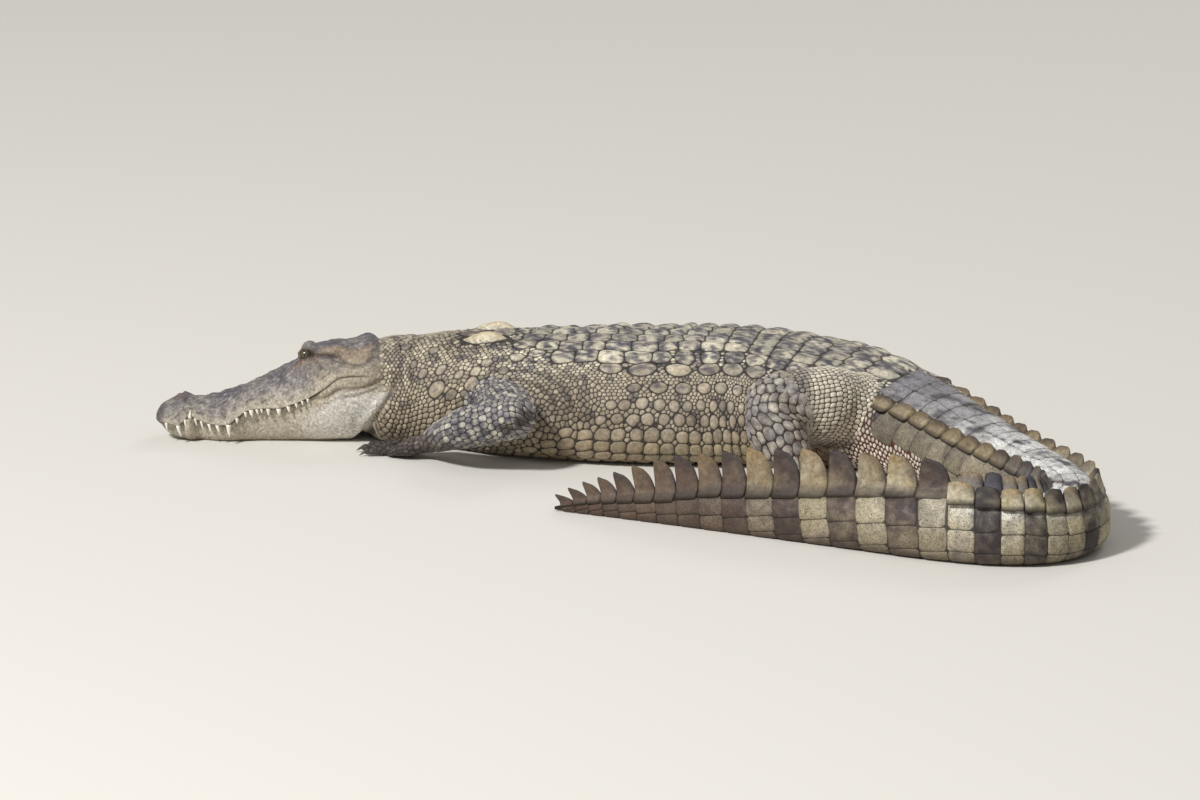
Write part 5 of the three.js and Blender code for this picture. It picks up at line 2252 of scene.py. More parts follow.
@dataclass
class TailScales:
    """The plates of the tail's whorls and the small scales at its base."""

    sheet: Sheet
    rng: Rng
    double_bands: tuple[float, ...] = (0.018, 0.24, 0.6, 1.06)
    single_bands: tuple[float, ...] = (0.016, 0.19, 0.6, 1.04)
    last_bands: tuple[float, ...] = (0.02, 0.5, 1.06)
    last_from: int = 28  # the first whorl whose plates follow last_bands
    bare_span: float = 0.86  # of the half girth; the plates under the tail start below it

    def around(self, s: Array, share: Array) -> Array:
        """Distance round from the back's midline to shares of the height, both (n, k).

        Args:
            s: distances along the body line.
            share: shares of the height, from 0 at the floor.

        Returns:
            Distances round.
        """
        q = np.linspace(0, 1, 161)[None]
        points, _ = self.sheet.at(s[:, None] + 0 * q, q + 0 * s[:, None])
        z = points[..., 2] / PLAN.height(s)[:, None]
        z = np.minimum.accumulate(z, 1)
        found = np.stack([np.interp(-level, -row, q[0]) for row, level in zip(z, share)])
        return found * self.sheet.width(s)[:, None]

    def seeds(self) -> Seeds:
        """Plates up each side of every whorl, across its top and under it.

        Returns:
            The plates.
        """
        start, length, _ = WHORLS.table()
        number = np.arange(len(start))
        groups = []
        for rows, bands in ((number < WHORLS.double, self.double_bands),
                ((number >= WHORLS.double) & (number < self.last_from), self.single_bands),
                (number >= self.last_from, self.last_bands)):
            s, span = (start + length / 2)[rows], length[rows]
            edges = self.around(s, np.array(bands)[None] * WHORLS.foot(s)[:, None])
            for low, high in zip(edges.T[:-1], edges.T[1:]):
                for way in (-1, 1):
                    groups.append(self.plates(s, way * (low + high) / 2, span, low - high))
            half = self.sheet.width(s)
            step = (half - edges[:, 0]) / 2
            for k in (0.5, 1.5):
                for way in (-1, 1):
                    groups.append(self.plates(s, way * (edges[:, 0] + k * step), span, step))
            if bands is self.double_bands:
                inner = edges[:, -1]
                for share in (-0.52, 0.0, 0.52):
                    groups.append(self.plates(s, share * inner, span, inner * 0.52))
        return Seeds.join(groups)

    def plates(self, s: Array, d: Array, length: Array, width: Array) -> Seeds:
        """Nearly square plates, one for each whorl.

        Args:
            s: distances along the body line.
            d: distances round from the back's midline.
            length: the whorls' lengths.
            width: widths round the tail.

        Returns:
            The plates.
        """
        n = len(s)
        s = s + WHORLS.shift(s, d) + self.rng.normal(0, 0.2, n)
        long = np.maximum(length / 2 + 0.1, 2.0)
        wide = np.maximum(np.abs(width) / 2, 1.6)
        return Seeds.make(s, d, long, wide, Kind.WHORL, self.rng, square=14.0, firm=True)

    def is_bare(self, u: Array, d: Array) -> Array:
        """Where the skin behind the thighs carries beads instead of plates.

        Args:
            u: distances along.
            d: distances round from the back's midline.

        Returns:
            A truth value for each place.
        """
        points, _ = self.sheet.at(u, d / self.sheet.width(u))
        low = points[..., 2] / PLAN.height(u) < 0.74 - 0.0019 * (u - 1366)
        return low & (u < 1630) & (np.abs(d) < self.bare_span * self.sheet.width(u))

    def beads(self, plates: Seeds, trunk: Seeds) -> Seeds:
        """Small beads on the bare skin behind the thighs.

        Args:
            plates: the tail's plates, which the beads keep clear of.
            trunk: the trunk's scales, the same.

        Returns:
            The beads.
        """
        size = Curve((0, 5.4), (400, 5.4))
        beads = Seeds.join([
            quilt((1300, 1660), span, size, 0.95, Kind.BEAD, self.rng)
            for span in ((-330.0, -40.0), (40.0, 330.0))
        ])
        trunk = trunk.pick(trunk.u > 1250)
        trunk.long, trunk.wide = trunk.long + 4, trunk.wide + 4
        keep = np.abs(beads.d) < self.bare_span * self.sheet.width(beads.u)
        return beads.pick(keep & beads.clear_of(plates, 1.04) & beads.clear_of(trunk, 1.0))

    def outline(self, seeds: Seeds, sides: int) -> Array:
        """Reach of each plate in each direction: 1 / (|cos / long|^p + |sin / wide|^p)^(1/p).

        Args:
            seeds: the scales.
            sides: directions round a plate.

        Returns:
            Radii (n, sides).
        """
        way = np.linspace(0, 2 * math.pi, sides, endpoint=False)[None]
        along = np.abs(np.cos(way)) / seeds.long[:, None]
        across = np.abs(np.sin(way)) / seeds.wide[:, None]
        power = seeds.square[:, None]
        return (along**power + across**power) ** (-1 / power)


# ------------------------------------------------------------------ crest, teeth and eyes


def horn_pieces(name: str, rings: Array) -> Piece:
    """Many closed horns in one piece.

    Args:
        name: the piece's name.
        rings: (count, rows, columns, 3) in mm.

    Returns:
        The object.
    """
    count, rows, columns, _ = rings.shape
    caps = rings[:, [0, -1]].mean(2)
    points = np.concatenate([rings.reshape(count, -1, 3), caps], 1)
    stride = rows * columns + 2
    first = np.arange(count)[:, None, None] * stride
    faces = [(first + f[None]).reshape(-1, f.shape[1]) for f in tube_faces(rows, columns)]
    return make_object(name, points.reshape(-1, 3), faces)


@dataclass
class Crest:
    """The tail's upright crest scales: two rows to its middle, then one."""

    rows: int = 13
    columns: int = 20

    def blades(self) -> tuple[Array, Array, Array, Array]:
        """Places and sizes of all blades, those of the double rows first.

        Returns:
            Start, length, side (-1, 1 or 0 for single) and rise of each.
        """
        start, length, rise = WHORLS.table()
        two = np.arange(len(start)) < WHORLS.double
        pair, single = np.flatnonzero(two), np.flatnonzero(~two)
        each = np.concatenate([pair, pair, single])
        way = np.repeat([-1.0, 1.0, 0.0], [len(pair), len(pair), len(single)])
        return start[each], length[each], way, rise[each]

    def build(self, hide: Hide, rng: Rng) -> Piece:
        """Makes the crest.

        The top of a blade is at p. Below it, at share c of its height, the front edge is
        p * (1 - (1 - c^a)^(1/a)) and the back edge falls from the back of the whorl to p in
        the same way, so the blade is as wide as its whorl below and a rounded tongue above.
        Across it is a box that follows the body below and a lens above.

        Args:
            hide: the markings.
            rng: the random source.

        Returns:
            The object.
        """
        s, span, way, up = self.blades()
        n = len(s)
        up = (up * rng.uniform(0.94, 1.06, n))[:, None, None]
        single = (way == 0)[:, None, None]
        s3, length, way3 = s[:, None, None], span[:, None, None], way[:, None, None]
        c = np.linspace(0, 1, self.rows)[None, :, None] ** 0.9
        around = np.linspace(0, 2 * math.pi, self.columns, endpoint=False)[None, None]
        centre = s + span * 0.5
        body = PLAN.height(centre)[:, None, None]
        wide = PLAN.half_width(centre)[:, None, None]
        base = WHORLS.foot(centre)[:, None, None] * body
        young = 1 - ramp(s3, 1950, 2060)
        total = np.where(single, 1.0, 0.9) * body + up - base
        number = WHORLS.index(s + 1).astype(float)[:, None, None]
        lean = np.where(single, Curve((21, 0.05), (25, 0.16), (30, 0.3), (37, 0.8))(number), 0.08)
        peak = length * np.where(single, 0.76 + lean, mix(0.62, 0.78, young))
        soft = Curve((21, 2.7), (27, 2.5), (32, 2.3), (37, 2.2))(number)
        soft = np.where(single, soft, mix(4.0, 2.4, young))
        hard = np.where(single, 2.6, mix(4.5, 3.2, young))
        front = peak * (1 - np.maximum(1 - c**soft, 0) ** (1 / soft))
        edge = length * (1 + lean * c**1.6)
        last = length * (1 + lean)
        back = edge - (last - peak) * (1 - np.maximum(1 - c**hard, 0) ** (1 / hard))
        middle, half = (front + back) / 2, np.maximum((back - front) / 2 - 0.5, 0.3)
        box = mix(0.16, 0.9, ramp(c, 0.25, 0.8))
        x = s3 + middle + half * signed_power(np.cos(around), mix(0.5, 1.0, ramp(c, 0.2, 0.7)))
        z = base + total * c
        core = body * PLAN.widest(centre)[:, None, None]
        over = np.clip((z - core) / (body - core), 0, 1)
        flank = wide * (1 - over**PLAN.back_power) ** (1 / PLAN.back_power) + 2.7
        blade = 1.6 + (0.16 * wide + 1) * (1 - c**0.8) + 0.3 * wide * (1 - ramp(c, 0, 0.3))
        double = mix(0.26 * wide + 2, 1.8, c ** mix(1.2, 0.7, young))
        thick = np.where(single, np.maximum(flank, blade), double)
        thick = thick - 1.8 * (1 - ramp(c, 0, 0.04))
        side = signed_power(np.sin(around), box) * thick + way3 * wide * mix(0.6, 0.68, c)
        bend = rng.normal(0, 0.035, n)[:, None, None] * total * c**2
        place = x + WHORLS.shift(x, way3 * 55)
        taper = PLAN.height(place) / PLAN.height(s3 + WHORLS.shift(s3, way3 * 55) + length / 2)
        z = z * mix(taper, 1.0, c)
        rings = PLAN.place(place, side + bend, z)
        piece = horn_pieces("tail_crest", rings)
        caps = np.stack([rings[:, 0].mean(1), rings[:, -1].mean(1)], 1)
        points = np.concatenate([rings.reshape(n, -1, 3), caps], 1)
        place = np.concatenate([(x + 0 * z).reshape(n, -1), np.repeat(centre[:, None], 2, 1)], 1)
        share = np.concatenate(
            [np.broadcast_to(c, x.shape).reshape(n, -1), np.zeros((n, 1)), np.ones((n, 1))], 1)
        own = np.clip(place, (s + 1)[:, None], (s + span - 1)[:, None])
        colour = hide.base(Region.CREST, own, 0 * place, points)
        dark = WHORLS.darkness(WHORLS.index(s + 1), 1.0)[:, None]
        ends = np.zeros((n, 2))
        hind = np.broadcast_to(-np.cos(around), x.shape).reshape(n, -1)
        hind = np.concatenate([hind, ends], 1)
        stripe = ramp(dark, -0.02, 0.2) * ramp(hind, 0.1, 0.9) * ramp(share, 0.2, 0.5)
        colour = blend_to(colour, "#3A302E", 0.75 * stripe)
        colour = blend_to(colour, "#86704E", 0.5 * (1 - ramp(own, 1750, 2000)))
        colour = blend_to(colour, "#4B4B56", 0.62 * (way < 0)[:, None] * ramp(own, 1700, 1900))
        dark = np.maximum(dark * 1.3, 0.7 * young[:, :, 0])
        tip = mix(ink("#9A7C4C"), ink("#2A2628"), np.clip(dark, 0, 1)[..., None])
        colour = mix(colour, tip, (0.6 * ramp(share, 0.5, 1.0))[..., None])
        paint(piece, "hide", colour.reshape(-1, 3))
        # crown rises from a blade's foot; the finish darkens the foot toward the groove colour as
        # painted shade where it meets the tail
        paint(piece, "crown", ramp(share, 0.0, 0.8).ravel())
        paint(piece, "rim", np.abs(hind).ravel())
        self.unwrap(piece, n)
        return piece

    def unwrap(self, piece: Piece, count: int) -> None:
        """Adds the OFBake map: each blade a cell of its own, height up and round across.

        Args:
            piece: the object.
            count: how many blades it has.
        """
        j, i = np.arange(self.columns)[:, None], np.arange(self.rows - 1)[:, None, None]
        cells = math.ceil(math.sqrt(count))
        blade = np.arange(count)[:, None, None, None]
        cell = np.concatenate([blade % cells, blade // cells], -1)
        last = self.rows - 1.0
        parts = []
        for across, up in ((j + [0, 0, 1, 1] + 0 * i, i + [0, 1, 1, 0] + 0 * j),
                (j + [0.5, 0, 1], 0 * j + [-0.8, 0, 0]),
                (j + [0, 0.5, 1], 0 * j + [last, last + 0.8, last])):
            u = 0.06 + 0.88 * across / self.columns
            v = 0.08 + 0.84 * (up + 0.8) / (self.rows + 0.8)
            spots = np.stack([u, v], -1).reshape(1, -1, u.shape[-1], 2)
            parts.append((spots + cell) / cells)
        store_map(piece, parts)


@dataclass
class Teeth:
    """The teeth that show with the mouth shut."""

    columns: int = 10
    rows: int = 7

    def build(self) -> Piece:
        """Makes them: cones whose radius is (1 - t)^0.62 of the root's, bent a little back.

        Returns:
            The object.
        """
        upper = np.array([(s, way, length, width, -1) for s, length, width in HEAD.upper_teeth
                          for way in (-1, 1)], float)
        lower = np.array([(s, way, length, width, 1) for s, length, width in HEAD.lower_teeth
                          for way in (-1, 1)], float)
        s, way, length, width, up = np.concatenate([upper, lower]).T[..., None, None]
        t = np.linspace(0, 1, self.rows)[None, :, None]
        around = np.linspace(0, 2 * math.pi, self.columns, endpoint=False)[None, None]
        radius = 0.6 * width * (1 - t * 0.97) ** mix(0.75, 0.5, ramp(width / length, 0.5, 0.9))
        lip = HEAD.lip(s)
        inward = np.where(up < 0, 2.6, 1.0)
        axis_side = way * (lip - inward + np.where(up < 0, 1.6, -0.4) * np.sin(2.2 * t))
        sway = 0.22 + 0.13 * np.sin(1.7 * s)
        axis_s = s + sway * length * t**1.4
        root = HEAD.mouth(s) - up * np.where(up < 0, 1.5, 9.0)
        z = root + up * (length + 2.5) * t
        x = axis_s + radius * 0.92 * np.cos(around)
        side = axis_side + radius * np.sin(around)
        z = z + 0 * around
        rings = PLAN.place(x, side, np.maximum(z, 0.5))
        return horn_pieces("teeth", rings)


@dataclass
class Eye:
    """An eyeball with its slit pupil, as deep in the head as a real one."""

    way: int
    name: str

    def build(self) -> Piece:
        """Makes the ball, which bulges at the cornea, and paints its iris pattern.

        Returns:
            The object.
        """
        centre, out, fore, up = eye_frame(self.way)
        radius = HEAD.eye_radius
        theta = np.linspace(0, math.pi, 50)[1:-1, None]
        phi = np.linspace(0, 2 * math.pi, 64, endpoint=False)[None] * self.way
        bulge = radius * (1 + 0.05 * np.exp(-((theta / 0.55) ** 2)))
        a = bulge * np.sin(theta) * np.cos(phi)
        b = bulge * np.sin(theta) * np.sin(phi)
        h = bulge * np.cos(theta) + 0 * phi
        rings = centre + a[..., None] * fore + b[..., None] * up + h[..., None] * out
        points = close_tube(rings)
        piece = make_object(self.name, points, tube_faces(*rings.shape[:2]))
        a, b = (np.concatenate([v.ravel(), [0, 0]]) for v in (a, b))
        front = np.concatenate([(h > 0).ravel(), [True, False]])
        reach = np.where(front, np.hypot(a, b), 20.0)
        slit = np.abs(a) - 1.5 * np.sqrt(np.maximum(1 - (b / 6.5) ** 2, 0))
        slit = np.where(front & (np.abs(b) < 6.5), slit, 5.0)
        colour = mix(ink("#5C4D35"), ink("#3D3323"), ramp(reach, 2, 8)[:, None])
        streak = np.sin(np.arctan2(b, a) * 34 + 3 * np.sin(reach)) * 0.5 + 0.5
        colour = colour * mix(0.75, 1.15, streak)[:, None]
        colour = mix(colour, ink("#2A2018"), ramp(reach, 7.6, 9.4)[:, None])
        colour = mix(ink("#070605"), colour, ramp(slit, -0.25, 0.35)[:, None])
        paint(piece, "iris", colour)
        return piece


# ------------------------------------------------------------------ finishes


def add_node(
    tree: bpy.types.NodeTree, kind: str, settings: dict | None = None, links: dict | None = None
) -> Node:
    """Adds a node, sets its properties or input values, and links its inputs.

    Args:
        tree: the material's or the world's node tree.
        kind: the node's type name.
        settings: property names, or input names or numbers, with their values.
        links: input names or numbers with the output socket that feeds each.

    Returns:
        The node.
    """
    node = tree.nodes.new(kind)
    for key, value in (settings or {}).items():
        if isinstance(key, str) and hasattr(node, key):
            setattr(node, key, value)
        else:
            node.inputs[key].default_value = value
    for key, source in (links or {}).items():
        tree.links.new(source, node.inputs[key])
    return node


def new_material(name: str) -> tuple[bpy.types.Material, bpy.types.NodeTree]:
    """An empty node material and its tree.

    Args:
        name: its name.

    Returns:
        The material and its tree.
    """
    material = bpy.data.materials.new(name)
    material.use_nodes = True
    material.node_tree.nodes.clear()
    return material, material.node_tree


def per_mm(size: float) -> float:
    """The texture scale whose pattern repeats about every `size` millimetres."""
    return 1000.0 / size


@dataclass(frozen=True)
class KeratinFinish:
    """Dry reptile hide: horny keratin, fairly matt, its roughness varying with a fine noise.

    To the eye it is dusty and mottled, with fine wrinkles and growth rings that catch the
    light along their edges.
    """

    name: str
    mottle_mm: float = 7.0
    speck_mm: float = 2.2
    crack_mm: float = 3.2
    wrinkle_mm: float = 1.1  # real ones are about 0.3 mm, drawn coarser so that they show
    crack_depth: float = 0.35
    wrinkle_depth: float = 0.14
    rings: float = 0.0
    # the dark joint colour of the skin between scales, also laid on the scales' low edges as
    # painted shade
    groove: str = "#261C14"
    groove_share: float = 0.85
    tones: Pair = (0.6, 1.32)
    dark_speck: str = "#2B2930"
    speck_share: float = 0.55
    speck_from: float = 0.56
    roughness: Pair = (0.5, 0.78)

    def build(self) -> bpy.types.Material:
        """Makes the material; it reads the attributes hide, crown and rim.

        Returns:
            The material.
        """
        material, tree = new_material(self.name)
        place = add_node(tree, "ShaderNodeTexCoord").outputs["Object"]
        hide = add_node(tree, "ShaderNodeAttribute", {"attribute_name": "hide"})
        crown = add_node(tree, "ShaderNodeAttribute", {"attribute_name": "crown"})
        mottle = add_node(tree, "ShaderNodeTexNoise",
            {"Scale": per_mm(self.mottle_mm), "Detail": 6.0, "Roughness": 0.62}, {"Vector": place})
        tone = add_node(tree, "ShaderNodeMapRange",
            {"From Min": 0.3, "From Max": 0.7, "To Min": self.tones[0], "To Max": self.tones[1]},
            {"Value": mottle.outputs[0]})
        toned = add_node(tree, "ShaderNodeVectorMath", {"operation": "SCALE"},
            {0: hide.outputs["Color"], "Scale": tone.outputs[0]})
        speck = add_node(tree, "ShaderNodeTexNoise",
            {"Scale": per_mm(self.speck_mm), "Detail": 3.0, "Roughness": 0.6}, {"Vector": place})
        speckled = add_node(
            tree, "ShaderNodeMapRange",
            {"From Min": self.speck_from, "From Max": self.speck_from + 0.12, "To Min": 0.0,
             "To Max": self.speck_share},
            {"Value": speck.outputs[0]},
        )
        with_specks = add_node(tree, "ShaderNodeMix",
            {"data_type": "RGBA", 7: (*hex_colour(self.dark_speck), 1)},
            {0: speckled.outputs[0], 6: toned.outputs[0]})
        crack = add_node(tree, "ShaderNodeTexVoronoi",
            {"feature": "DISTANCE_TO_EDGE", "Scale": per_mm(self.crack_mm)}, {"Vector": place})
        crack_line = add_node(tree, "ShaderNodeMapRange",
            {"From Min": 0.0, "From Max": 0.09, "To Min": 0.0, "To Max": 1.0},
            {"Value": crack.outputs["Distance"]})
        # painted shade: where crown is low, at a scale's foot, the colour is mixed toward the
        # groove colour
        low = add_node(tree, "ShaderNodeMapRange",
            {"From Min": 0.0, "From Max": 0.32, "To Min": self.groove_share, "To Max": 0.0},
            {"Value": crown.outputs["Fac"]})
        base = add_node(tree, "ShaderNodeMix",
            {"data_type": "RGBA", 7: (*hex_colour(self.groove), 1)},
            {0: low.outputs[0], 6: with_specks.outputs[2]})
        rough = add_node(
            tree, "ShaderNodeMapRange",
            {"From Min": 0.3, "From Max": 0.75, "To Min": self.roughness[0],
             "To Max": self.roughness[1]},
            {"Value": speck.outputs[0]},
        )
        wrinkle = add_node(tree, "ShaderNodeTexNoise",
            {"Scale": per_mm(self.wrinkle_mm), "Detail": 3.0, "Roughness": 0.7}, {"Vector": place})
        first = add_node(tree, "ShaderNodeBump",
            {"Strength": self.crack_depth, "Distance": 0.0005}, {"Height": crack_line.outputs[0]})
        second = add_node(tree, "ShaderNodeBump",
            {"Strength": self.wrinkle_depth * 3, "Distance": 0.0006},
            {"Height": wrinkle.outputs[0], "Normal": first.outputs[0]})
        third = add_node(tree, "ShaderNodeBump", {"Strength": 0.5, "Distance": 0.0012},
            {"Height": mottle.outputs[0], "Normal": second.outputs[0]})
        normal = third.outputs[0]
        if self.rings:
            rim = add_node(tree, "ShaderNodeAttribute", {"attribute_name": "rim"})
            uneven = add_node(tree, "ShaderNodeMath", {"operation": "MULTIPLY_ADD", 1: 0.25},
                {0: mottle.outputs[0], 2: rim.outputs["Fac"]})
            wave = add_node(tree, "ShaderNodeMath", {"operation": "MULTIPLY", 1: 34.0},
                {0: uneven.outputs[0]})
            ring = add_node(tree, "ShaderNodeMath", {"operation": "SINE"}, {0: wave.outputs[0]})
            normal = add_node(tree, "ShaderNodeBump", {"Strength": self.rings, "Distance": 0.0004},
                {"Height": ring.outputs[0], "Normal": normal}).outputs[0]
        shader = add_node(tree, "ShaderNodeBsdfPrincipled", {"IOR": 1.5},
            {"Base Color": base.outputs[2], "Roughness": rough.outputs[0], "Normal": normal})
        add_node(tree, "ShaderNodeOutputMaterial", {}, {"Surface": shader.outputs[0]})
        return material


@dataclass(frozen=True)
class HornFinish:
    """Claw horn: dark, worn keratin, mottled dark and light and fairly glossy."""

    name: str = "horn_polished_by_wear"
    dark: str = "#2A2320"
    light: str = "#5E5348"

    def build(self) -> bpy.types.Material:
        """Makes the material.

        Returns:
            The material.
        """
        material, tree = new_material(self.name)
        place = add_node(tree, "ShaderNodeTexCoord").outputs["Object"]
        grain = add_node(tree, "ShaderNodeTexNoise", {"Scale": per_mm(4.0), "Detail": 4.0},
            {"Vector": place})
        colour = add_node(tree, "ShaderNodeMix",
            {"data_type": "RGBA", 6: (*hex_colour(self.dark), 1), 7: (*hex_colour(self.light), 1)},
            {0: grain.outputs[0]})
        bumps = add_node(tree, "ShaderNodeBump", {"Strength": 0.4, "Distance": 0.0004},
            {"Height": grain.outputs[0]})
        shader = add_node(tree, "ShaderNodeBsdfPrincipled", {"IOR": 1.54, "Roughness": 0.38},
            {"Base Color": colour.outputs[2], "Normal": bumps.outputs[0]})
        add_node(tree, "ShaderNodeOutputMaterial", {}, {"Surface": shader.outputs[0]})
        return material


@dataclass(frozen=True)
class EnamelFinish:
    """Tooth enamel: ivory white, smooth, yellower in patches."""

    name: str = "tooth_enamel"
    white: str = "#EDE9DD"
    stain: str = "#C9B992"

    def build(self) -> bpy.types.Material:
        """Makes the material.

        Returns:
            The material.
        """
        material, tree = new_material(self.name)
        place = add_node(tree, "ShaderNodeTexCoord").outputs["Object"]
        patch = add_node(tree, "ShaderNodeTexNoise", {"Scale": per_mm(5.0), "Detail": 3.0},
            {"Vector": place})
        stained = add_node(tree, "ShaderNodeMapRange",
            {"From Min": 0.5, "From Max": 0.75, "To Min": 0.0, "To Max": 0.8},
            {"Value": patch.outputs[0]})
        colour = add_node(
            tree, "ShaderNodeMix",
            {"data_type": "RGBA", 6: (*hex_colour(self.white), 1), 7: (*hex_colour(self.stain), 1)},
            {0: stained.outputs[0]},
        )
        shader = add_node(tree, "ShaderNodeBsdfPrincipled", {"IOR": 1.62, "Roughness": 0.28},
            {"Base Color": colour.outputs[2]})
        add_node(tree, "ShaderNodeOutputMaterial", {}, {"Surface": shader.outputs[0]})
        return material


@dataclass(frozen=True)
class EyeFinish:
    """A wet eye: the iris under a clear cornea, whose coat gives a sharp highlight."""

    name: str = "wet_eye"

    def build(self) -> bpy.types.Material:
        """Makes the material; it reads the attribute iris.

        Returns:
            The material.
        """
        material, tree = new_material(self.name)
        iris = add_node(tree, "ShaderNodeAttribute", {"attribute_name": "iris"})
        place = add_node(tree, "ShaderNodeTexCoord").outputs["Object"]
        fibres = add_node(tree, "ShaderNodeTexNoise", {"Scale": per_mm(0.8), "Detail": 3.0},
            {"Vector": place})
        tone = add_node(tree, "ShaderNodeMapRange",
            {"From Min": 0.3, "From Max": 0.7, "To Min": 0.75, "To Max": 1.25},
            {"Value": fibres.outputs[0]})
        colour = add_node(tree, "ShaderNodeVectorMath", {"operation": "SCALE"},
            {0: iris.outputs["Color"], "Scale": tone.outputs[0]})
        shader = add_node(
            tree, "ShaderNodeBsdfPrincipled",
            {"IOR": 1.376, "Roughness": 0.3, "Coat Weight": 1.0, "Coat Roughness": 0.02,
             "Coat IOR": 1.4},
            {"Base Color": colour.outputs[0]},
        )
        add_node(tree, "ShaderNodeOutputMaterial", {}, {"Surface": shader.outputs[0]})
        return material


# ------------------------------------------------------------------ the animal


def dress(piece: Piece, material: bpy.types.Material) -> None:
    """Gives a piece its material and its slot, and lets it ride on the one body.

    Args:
        piece: the object.
        material: its finish.
    """
    piece.data.materials.clear()
    piece.data.materials.append(material)
    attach(piece, "root")
    LOG.info("%s: %d faces", piece.name, len(piece.data.polygons))


def join_pieces(pieces: list[Piece], name: str) -> Piece:
    """One piece from several, keeping their attributes and maps.

    Args:
        pieces: the objects, which are used up.
        name: its name.

    Returns:
        The joined object.
    """
    with bpy.context.temp_override(active_object=pieces[0], object=pieces[0],
            selected_objects=pieces, selected_editable_objects=pieces):
        bpy.ops.object.join()
    pieces[0].name = name
    pieces[0].data.name = name
    return pieces[0]


@dataclass
class Crocodile:
    """The whole animal: skin, scales, crest, teeth, eyes and claws."""

    seed: int = 7
    hide: Hide = field(default_factory=Hide)
    flesh: Flesh = field(default_factory=Flesh)
    legs: list[Leg] = field(default_factory=lambda: [Leg(plan) for plan in LEGS])

    def build(self) -> None:
        """Builds every piece in order, dresses it and hides the solids it stands for."""
        self.rng = np.random.default_rng(self.seed)
        self.skin, sheet = Skin(self.flesh, self.legs).build(self.hide)
        self.dress_skin()
        self.body_sheet = drape(sheet, self.skin)
        self.raw_sheet = sheet
        scales = KeratinFinish("horny_scale_keratin", rings=0.1).build()
        self.trunk(scales)
        self.tail(scales)
        self.limbs(scales)
        self.details()

    def dress_skin(self) -> None:
        """Gives the skin its finish and hides the flesh solids."""
        finish = KeratinFinish("dry_hide", mottle_mm=5.0, speck_mm=2.6, crack_mm=6.0,
            crack_depth=0.55, wrinkle_depth=0.24, tones=(0.52, 1.42), speck_share=0.6).build()
        paint(self.skin, "crown", np.ones(len(self.skin.data.vertices)))
        dress(self.skin, finish)
        nodes = ["skull", "lower_jaw", "neck", "chest", "belly", "pelvis"]
        nodes += [f"tail_{number}" for number in range(1, 8)]
        for leg in self.legs:
            nodes += leg.plan.nodes
        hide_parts(*nodes)

    def in_leg(self, seeds: Seeds) -> Array:
        """Which body scales would stand inside a leg.

        Args:
            seeds: the scales.

        Returns:
            A truth value for each scale.
        """
        points, _ = self.raw_sheet.at(seeds.u, seeds.d / self.raw_sheet.width(seeds.u))
        inside = np.zeros(len(points), bool)
        for leg in self.legs:
            for tube in leg.tubes:
                inside |= tube.holds(points, 1.0)
        return inside

    def trunk(self, material: bpy.types.Material) -> None:
        """Makes the scales of neck and trunk.

        Args:
            material: their finish.
        """
        seeds = TrunkScales(self.body_sheet, self.rng).seeds()
        seeds = self.trunk_seeds = seeds.pick(~self.in_leg(seeds))
        coat = Coat("scales", self.body_sheet, seeds, groove=0.6)
        large = seeds.are(Kind.SCUTE, Kind.SHIELD) | seeds.are(Kind.OVAL) & (seeds.long > 15)
        small = ~large
        neck = seeds.u < PLAN.neck_end
        under = np.abs(seeds.d) > 0.7 * self.body_sheet.width(seeds.u)
        parts = coat.parts({
            "scales_neck": small & neck,
            "scales_flank_left": small & ~neck & ~under & (seeds.d < 0),
            "scales_flank_right": small & ~neck & ~under & (seeds.d >= 0),
            "scales_belly": small & ~neck & under,
        })
        parts += coat.parts({"scales_back": large}, sides=24, rim=LARGE)
        for part in parts:
            dress(part.build(self.hide, Region.BODY), material)

    def tail(self, material: bpy.types.Material) -> None:
        """Makes the tail's plates and crest.

        Args:
            material: their finish.
        """
        plates = TailScales(self.body_sheet, self.rng)
        seeds = plates.seeds()
        seeds = seeds.pick(~self.in_leg(seeds) & ~plates.is_bare(seeds.u, seeds.d))
        beads = plates.beads(seeds, self.trunk_seeds)
        beads = beads.pick(~self.in_leg(beads))
        beads = Coat("scales_tail_base", self.body_sheet, beads, groove=2.4, sides=10)
        dress(beads.build(self.hide, Region.BODY), material)
        coat = Coat("scales_tail", self.body_sheet, seeds, sides=32, rim=PLATE,
            outline=plates.outline(seeds, 32), ringed=True)
        stippled = KeratinFinish("stippled_tail_keratin", speck_mm=2.3, speck_share=0.85,
            speck_from=0.53, dark_speck="#2A221C", tones=(0.7, 1.28), rings=0.08).build()
        dress(coat.build(self.hide, Region.TAIL), stippled)
        dress(Crest().build(self.hide, self.rng), material)

    def limbs(self, material: bpy.types.Material) -> None:
        """Makes the legs' scales and the claws.

        Args:
            material: their finish.
        """
        horn = HornFinish().build()
        for leg in self.legs:
            parts = []
            for coat in leg.coats(Skin.leg_depth, self.rng, self.skin):
                parts.append(coat.build(self.hide, leg.plan.region))
            piece = join_pieces(parts, f"scales_{leg.plan.name}")
            dress(piece, material)
            for name, rings in leg.claws():
                claw = tube_object(name + "_horn", rings)
                dress(claw, horn)
                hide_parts(name)

    def details(self) -> None:
        """Makes the teeth and the eyes."""
        dress(Teeth().build(), EnamelFinish().build())
        wet = EyeFinish().build()
        for way, name in ((-1, "left_eye"), (1, "right_eye")):
            ball = Eye(way, name + "_ball").build()
            dress(ball, wet)
            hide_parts(name)


# ------------------------------------------------------------------ studio


